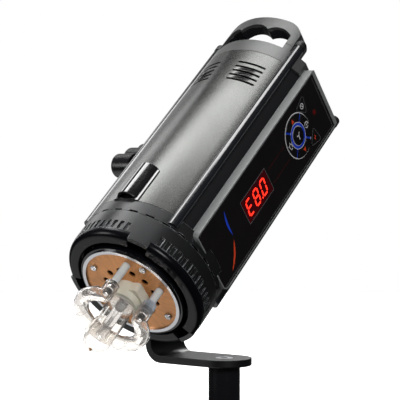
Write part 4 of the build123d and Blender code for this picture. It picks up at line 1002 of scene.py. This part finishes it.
@dataclass
class ControlPanel:
    """The side panel: its film, its display, its keys and what is printed on them."""

    face_x: float = 61.16
    key_proud: float = 0.8
    ink_h: float = 0.05
    display: tuple[float, float, float, float] = (47.5, 0.9, 44.0, 22.2)
    pad: Point = (-31.9, 0.9)
    ring_r: float = 11.7
    key_r: float = 8.0
    outline_r: float = 19.75
    spoke_end: float = 19.3
    spoke_w: float = 1.5
    digit_h: float = 13.2
    digit_w: float = 7.0
    digit_first: float = 18.0
    digit_pitch: float = 12.6
    digit_gap: float = 0.35
    digit_lift: float = 0.02
    stroke: float = 1.75
    lean: float = 0.14
    frame_w: float = 0.5
    line_w: float = 0.45
    line_rear: float = -80.0
    line_front: float = 128.6
    line_low: float = -26.6
    line_high: float = 27.0
    dot_rows: Point = (7.4, -6.4)
    dot_count: int = 22
    dot_from: float = -8.6
    dot_pitch: float = 1.45
    dot_r: float = 0.36
    arrow_out: float = 15.3
    rear_mark: float = -15.2
    front_mark: Point = (15.4, 0.6)
    lamp_key: Point = (-51.5, 17.6)
    test_key: Point = (-51.0, -16.4)
    key_reach: float = 6.1
    key_corner: float = 2.0
    ready_lamp: Point = (-64.5, 0.9)
    ready_r: float = 2.6

    def on(self, lift: float = 0.0) -> Callable[[float, float, float], Vector]:
        """Turns a place on the panel's face, in a and u, into a point."""
        return lambda a, u, h: HEAD.point(self.face_x + lift + h, a, u)

    def dress(self, maker: Sculptor) -> None:
        """Gives the panel's CAD nodes their finishes.

        Args:
            maker: The sculptor.
        """
        maker.dress(PANEL_BLACK, "panel_fascia")
        maker.dress(WINDOW_RED, "display_window")
        maker.dress(DIGIT_RED, "display_module")
        maker.dress(LAMP_RED, "ready_lamp")
        maker.dress(KEY_BLACK, *(n for n in maker.nodes if n.startswith("key_")))
        maker.dress(BOARD_GREEN, "control_board", "power_board")

    def digit(self, into: bmesh.types.BMesh, maker: Sculptor, front_a: float,
              strokes: Iterable[Segment]) -> None:
        """Adds one digit, whose left side is nearer the front.

        Args:
            into: The mesh of all digits.
            maker: The sculptor.
            front_a: Where its lower left corner is along the head.
            strokes: Which of its strokes are lit.
        """
        middle_u = self.display[1]
        for stroke in strokes:
            (x0, y0), (x1, y1) = stroke.value
            ends = []
            for x, y in ((x0, y0), (x1, y1)):
                up = (y - 1) * self.digit_h / 2
                slant = (up + self.digit_h / 2) * self.lean
                ends.append(Vector((front_a - x * self.digit_w - slant, middle_u + up)))
            run = (ends[1] - ends[0]).normalized()
            side = Vector((-run.y, run.x)) * self.stroke / 2
            start, stop = ends[0] + run * self.digit_gap, ends[1] - run * self.digit_gap
            tip = self.stroke / 2
            shape = [start, start + run * tip + side, stop - run * tip + side, stop,
                     stop - run * tip - side, start + run * tip - side]
            maker.plate(into, self.on(self.digit_lift), [(p.x, p.y) for p in shape], self.ink_h)

    def build(self, maker: Sculptor) -> None:
        """Adds the digits and every printed mark.

        Args:
            maker: The sculptor.
        """
        digits = bmesh.new()
        letter_e = [Segment.TOP, Segment.UPPER_LEFT, Segment.MIDDLE, Segment.LOWER_LEFT, Segment.BOTTOM]
        nought = [s for s in Segment if s is not Segment.MIDDLE]
        for k, strokes in enumerate((letter_e, list(Segment), nought)):
            self.digit(digits, maker, self.display[0] + self.digit_first - self.digit_pitch * k, strokes)
        point = (self.display[0] - 5.6, self.display[1] - 6.4)
        maker.plate(digits, self.on(self.digit_lift), ring_of(point, 0.9, 16), self.ink_h)
        maker.hang("display_digits", digits, DIGIT_RED, "head", smooth=False)
        self.frames(maker)
        self.pad_marks(maker)
        self.key_marks(maker)
        self.stripes(maker)

    def frames(self, maker: Sculptor) -> None:
        """The fine grey lines round the window and along the panel, and the two rows of red dots.

        Args:
            maker: The sculptor.
        """
        lines = bmesh.new()
        a, u, length, width = self.display
        half_l, half_w = length / 2 + 0.35, width / 2 + 0.35
        signs = ((-1, -1), (1, -1), (1, 1), (-1, 1))
        corners = [(a + i * half_l, u + j * half_w) for i, j in signs]
        for i in range(4):
            maker.band(lines, self.on(), [corners[i], corners[(i + 1) % 4]], self.frame_w, self.ink_h)
        corner = (self.line_rear, self.line_low)
        for end in ((self.line_front, self.line_low), (self.line_rear, self.line_high)):
            maker.band(lines, self.on(), [corner, end], self.line_w, self.ink_h)
        maker.hang("panel_lines", lines, INK_GREY, "head", smooth=False)
        dots = bmesh.new()
        for row in self.dot_rows:
            for k in range(self.dot_count):
                dot = ring_of((self.dot_from + self.dot_pitch * k, row), self.dot_r, 10)
                maker.plate(dots, self.on(), dot, self.ink_h)
        maker.hang("panel_dots", dots, DOT_RED, "head", smooth=False)

    def pad_marks(self, maker: Sculptor) -> None:
        """The key pad's blue ring and spokes, and its white outlines.

        Args:
            maker: The sculptor.
        """
        blue, white = bmesh.new(), bmesh.new()
        mid = (self.key_r + self.ring_r) / 2
        maker.band(blue, self.on(), ring_of(self.pad, mid), self.ring_r - self.key_r - 0.7, self.ink_h, True)
        for turn in (45, 135, 225, 315):
            c, s = math.cos(math.radians(turn)), math.sin(math.radians(turn))
            ends = [(self.pad[0] + r * c, self.pad[1] + r * s) for r in (self.ring_r - 0.6, self.spoke_end)]
            maker.band(blue, self.on(), ends, self.spoke_w, self.ink_h)
        maker.hang("pad_blue", blue, INK_BLUE, "head", smooth=False)
        for radius, width in ((self.outline_r, 0.9), (self.ring_r - 0.2, 0.5), (self.key_r + 0.4, 0.5)):
            maker.band(white, self.on(0.01), ring_of(self.pad, radius, 96), width, self.ink_h, True)
        maker.hang("pad_outline", white, INK_WHITE, "head", smooth=False)

    def key_marks(self, maker: Sculptor) -> None:
        """The marks on the keys, each riding on its own key.

        Args:
            maker: The sculptor.
        """
        top = self.on(self.key_proud)
        a0, u0 = self.pad
        for name, side in (("key_up", 1), ("key_down", -1)):
            mark = bmesh.new()
            u = u0 + side * self.arrow_out
            arrow = [(a0 - 2.1, u - side * 1.7), (a0 + 2.1, u - side * 1.7), (a0, u + side * 2.1)]
            maker.plate(mark, top, arrow, self.ink_h)
            maker.hang(name + "_mark", mark, INK_RED, name, smooth=False)
        mark = bmesh.new()
        eye = (a0 + self.rear_mark, u0)
        maker.band(mark, top, arc(eye, 2.6, 20, 200, 14), 0.8, self.ink_h)
        maker.band(mark, top, arc(eye, 2.6, 235, 345, 10), 0.8, self.ink_h)
        maker.plate(mark, top, ring_of(eye, 0.8, 14), self.ink_h)
        maker.hang("key_rear_mark", mark, INK_WHITE, "key_rear", smooth=False)
        mark = bmesh.new()
        bulb = (a0 + self.front_mark[0], u0 + self.front_mark[1])
        maker.band(mark, top, arc(bulb, 2.1, -50, 230, 16), 0.75, self.ink_h)
        foot = [(bulb[0] + k * 1.2, bulb[1] - 2.8) for k in (-1, 1)]
        maker.band(mark, top, foot, 0.9, self.ink_h)
        for turn in (30, 90, 150):
            c, s = math.cos(math.radians(turn)), math.sin(math.radians(turn))
            ray = [(bulb[0] + r * c, bulb[1] + r * s) for r in (2.9, 3.9)]
            maker.band(mark, top, ray, 0.5, self.ink_h)
        maker.hang("key_front_mark", mark, INK_WHITE, "key_front", smooth=False)
        mark = bmesh.new()
        for dx, dy in ((-2.3, 2.6), (2.6, 1.2), (0.6, -3.6)):
            maker.band(mark, top, [(a0, u0), (a0 + dx, u0 + dy)], 1.05, self.ink_h)
        maker.hang("key_set_mark", mark, INK_WHITE, "key_set", smooth=False)
        self.triangle(maker, "key_lamp", self.lamp_key, 135.0, INK_WHITE)
        self.triangle(maker, "key_test", self.test_key, -135.0, INK_RED)

    def triangle(self, maker: Sculptor, key: str, centre: Point, turn: float, ink: Ink) -> None:
        """The outline round one three-sided key and the mark on it.

        Args:
            maker: The sculptor.
            key: The key's body.
            centre: Its centre in a and u.
            turn: Which way its corner points, in degrees.
            ink: The mark's ink.
        """
        outline, mark = bmesh.new(), bmesh.new()
        top = self.on(self.key_proud)
        line: list[Point] = []
        for k in range(3):
            middle = turn + 120 * k
            away = Vector((math.cos(math.radians(middle)), math.sin(math.radians(middle)))) * self.key_reach
            corner = (centre[0] + away.x, centre[1] + away.y)
            line += arc(corner, self.key_corner, middle - 60, middle + 60, 8)
        maker.band(outline, top, line, self.line_w, self.ink_h, True)
        maker.hang(key + "_outline", outline, INK_GREY, key, smooth=False)
        if ink is INK_WHITE:
            maker.band(mark, top, ring_of(centre, 2.3, 24), 0.7, self.ink_h, True)
            bar = [(centre[0] + k * 1.2, centre[1] + k * 1.2) for k in (-1, 1)]
            maker.band(mark, top, bar, 0.7, self.ink_h)
        else:
            bolt = [(-0.4, 2.8), (-1.5, 0.0), (0.2, 0.3), (0.5, -2.8), (1.6, 0.5), (0.1, 0.2)]
            shape = [(centre[0] + p[0] * 1.1, centre[1] + p[1]) for p in bolt]
            maker.plate(mark, top, shape, self.ink_h, 0.0)
        maker.hang(key + "_mark", mark, ink, key, smooth=False)

    def stripes(self, maker: Sculptor) -> None:
        """Two plain tapered stripes near the panel's front, and the ring round the ready lamp.

        Args:
            maker: The sculptor.
        """
        for name, ends, bow, ink in (("stripe_blue", ((90.9, 21.8), (93.7, -0.7)), 1.6, INK_BLUE),
                                     ("stripe_red", ((95.3, -4.7), (112.6, -23.1)), -1.8, INK_RED)):
            mark = bmesh.new()
            start, stop = Vector(ends[0]), Vector(ends[1])
            run = stop - start
            side = Vector((-run.y, run.x)).normalized()
            steps = [i / 20 for i in range(21)]
            line = [start + run * t + side * bow * math.sin(math.pi * t) for t in steps]
            widths = [0.12 + 2.3 * math.sin(math.pi * t) ** 0.8 for t in steps]
            maker.band(mark, self.on(), [(p.x, p.y) for p in line], widths, self.ink_h)
            maker.hang(name, mark, ink, "head", smooth=False)
        mark = bmesh.new()
        maker.band(mark, self.on(), ring_of(self.ready_lamp, self.ready_r, 28), 0.35, self.ink_h, True)
        maker.hang("ready_ring", mark, DOT_RED, "head", smooth=False)


@dataclass
class RearAndInside:
    """The rear panel's fittings and what sits inside the barrel."""

    def dress(self, maker: Sculptor) -> None:
        """Gives the rear and inner CAD nodes their finishes.

        Args:
            maker: The sculptor.
        """
        maker.dress(PLASTIC_BLACK, "rear_panel", "power_inlet", "power_rocker", "fuse_cap")
        maker.dress(PLASTIC_BLACK, "fan_frame", "fan_rotor")
        maker.dress(BRASS, "inlet_pins")
        maker.dress(BRIGHT, "sync_jack")
        maker.dress(SLAVE_RED, "slave_sensor")
        maker.dress(ZINC, "chassis_tray")
        maker.dress(CAN_BLUE, "capacitors")
        maker.dress(COIL_IRON, "charging_coil")
        maker.dress(CLEAR, "lamp_capsule")


@dataclass
class Bracket:
    """The tilt bracket, its locking knob and the stand socket."""

    knob_edge: float = 1.6

    def dress(self, maker: Sculptor) -> None:
        """Gives the bracket's CAD nodes their finishes and rounds the knob.

        Args:
            maker: The sculptor.
        """
        maker.dress(BRACKET_BLACK, "tilt_bracket")
        maker.dress(FIBRE, "friction_washer")
        maker.dress(SOCKET_BLACK, "stand_socket")
        maker.dress(ZINC, "foot_screw", "pivot_bolt")
        maker.dress(KNOB_BLACK, "tilt_knob", "socket_lock")
        maker.soften(self.knob_edge, "tilt_knob")


# ---- studio ------------------------------------------------------------------------------------


@dataclass(frozen=True)
class SoftBox:
    """One area light, aimed at a point."""

    name: str
    place: tuple[float, float, float]
    size: Point
    power: float
    aim: tuple[float, float, float] = (0.0, -0.02, 0.22)
    colour: Colour = (1.0, 1.0, 1.0)

    def build(self) -> None:
        """Adds the light."""
        light = bpy.data.lights.new(self.name, "AREA")
        light.shape, light.size, light.size_y = "RECTANGLE", *self.size
        light.energy, light.color = self.power, self.colour
        lamp = bpy.data.objects.new(self.name, light)
        lamp.location = self.place
        lamp.rotation_euler = (Vector(self.aim) - Vector(self.place)).to_track_quat("-Z", "Y").to_euler()
        bpy.context.scene.collection.objects.link(lamp)


@dataclass
class Studio:
    """The camera, the pale floor, the soft lights and the white surroundings."""

    target: tuple[float, float, float] = (-0.02656, 0.0, 0.20363)
    distance: float = 1.42388
    azimuth_deg: float = 37.2
    elevation_deg: float = 1.16
    lens: float = 145.5
    floor_r: float = 1.6

    def camera(self) -> None:
        """Adds the camera."""
        az, el = math.radians(self.azimuth_deg), math.radians(self.elevation_deg)
        away = Vector((math.sin(az) * math.cos(el), -math.cos(az) * math.cos(el), math.sin(el)))
        data = bpy.data.cameras.new("studio_camera")
        data.lens, data.sensor_width, data.sensor_fit = self.lens, 36.0, "HORIZONTAL"
        data.clip_start, data.clip_end = 0.05, 30.0
        camera = bpy.data.objects.new("studio_camera", data)
        camera.location = Vector(self.target) + away * self.distance
        camera.rotation_euler = (-away).to_track_quat("-Z", "Y").to_euler()
        bpy.context.scene.collection.objects.link(camera)
        bpy.context.scene.camera = camera

    def floor(self) -> None:
        """Adds the pale round floor."""
        mesh = bmesh.new()
        bmesh.ops.create_circle(mesh, cap_ends=True, segments=96, radius=self.floor_r)
        data = bpy.data.meshes.new("floor")
        mesh.to_mesh(data)
        mesh.free()
        floor = bpy.data.objects.new("floor", data)
        floor.location = (0, 0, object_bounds()[0][2] - 0.0005)
        bpy.context.scene.collection.objects.link(floor)
        paper = bpy.data.materials.new("floor_paper")
        paper.use_nodes = True
        graph = Graph(paper.node_tree)
        grain = graph.noise(graph.place(), 300.0, 2.0)
        pale = graph.mix(grain, (0.93, 0.93, 0.93), (0.96, 0.96, 0.96))
        graph.finish(Base_Color=pale, Roughness=0.9, Emission_Color=pale, Emission_Strength=1.06)
        data.materials.append(paper)
        floor.visible_diffuse = floor.visible_glossy = False
        floor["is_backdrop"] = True

    def surroundings(self) -> None:
        """White as it is looked at or looked through, and a soft dim room in reflections."""
        world = bpy.data.worlds.new("studio")
        bpy.context.scene.world = world
        world.use_nodes = True
        graph = Graph(world.node_tree)
        way = graph.node("ShaderNodeTexCoord", output="Generated")
        back = graph.node("ShaderNodeVectorMath", {"operation": "DOT_PRODUCT"}, {
            0: way, 1: Vector((-0.58, 0.79, 0.18))}, output="Value")
        up = graph.node("ShaderNodeSeparateXYZ", {}, {0: way}, output="Z")
        low = graph.node("ShaderNodeVectorMath", {"operation": "DOT_PRODUCT"}, {
            0: way, 1: Vector((-0.60, -0.12, -0.79))}, output="Value")
        room = back.above(0.75, 0.97) * 0.4 + low.above(0.82, 0.97) * 0.75 + up.above(0.0, 1.0) * 0.10 + 0.025
        seen = graph.node("ShaderNodeLightPath", output="Is Camera Ray")
        through = graph.node("ShaderNodeLightPath", output="Is Transmission Ray")
        open_side = back.above(0.40, 0.88)
        share = graph.node("ShaderNodeMath", {"operation": "MAXIMUM"}, {0: seen, 1: through * open_side})
        level = share + (1.0 - share) * room
        shine = graph.node("ShaderNodeBackground", {}, {"Color": (1.0, 1.0, 1.0), "Strength": level})
        graph.node_end("ShaderNodeOutputWorld", shine)

    def build(self) -> None:
        """Adds everything that isn't the object."""
        self.camera()
        self.floor()
        self.surroundings()
        for light in (
            SoftBox("top_box", (-0.16, -0.05, 1.35), (0.25, 1.3), 9.5),
            SoftBox("left_strip", (-1.1, 0.35, 0.75), (0.2, 1.0), 1.5),
            SoftBox("front_fill", (-0.75, -1.1, 0.35), (0.35, 0.5), 3.5),
            SoftBox("panel_fill", (1.15, -0.85, 0.75), (0.4, 0.4), 10.0),
            SoftBox("rear_fill", (-0.55, 1.25, 0.95), (0.5, 0.5), 5.0),
        ):
            light.build()
        settings = bpy.context.scene.view_settings
        settings.view_transform, settings.look = "Standard", "None"
        settings.exposure, settings.gamma = 0.0, 1.0


def main() -> None:
    """Loads the frame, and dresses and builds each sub-assembly."""
    logging.basicConfig(level=logging.INFO, format="%(name)s %(message)s")
    for thing in list(bpy.data.objects):
        bpy.data.objects.remove(thing)
    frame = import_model()
    maker = Sculptor(frame)
    for part in (Shells(), LampHead(), ControlPanel(), RearAndInside(), Bracket()):
        part.dress(maker)
        if hasattr(part, "build"):
            part.build(maker)
        LOG.info("%s is done", type(part).__name__)
    Studio().build()
    LOG.info("%d pieces added", maker.made)


if __name__ == "__main__":
    main()
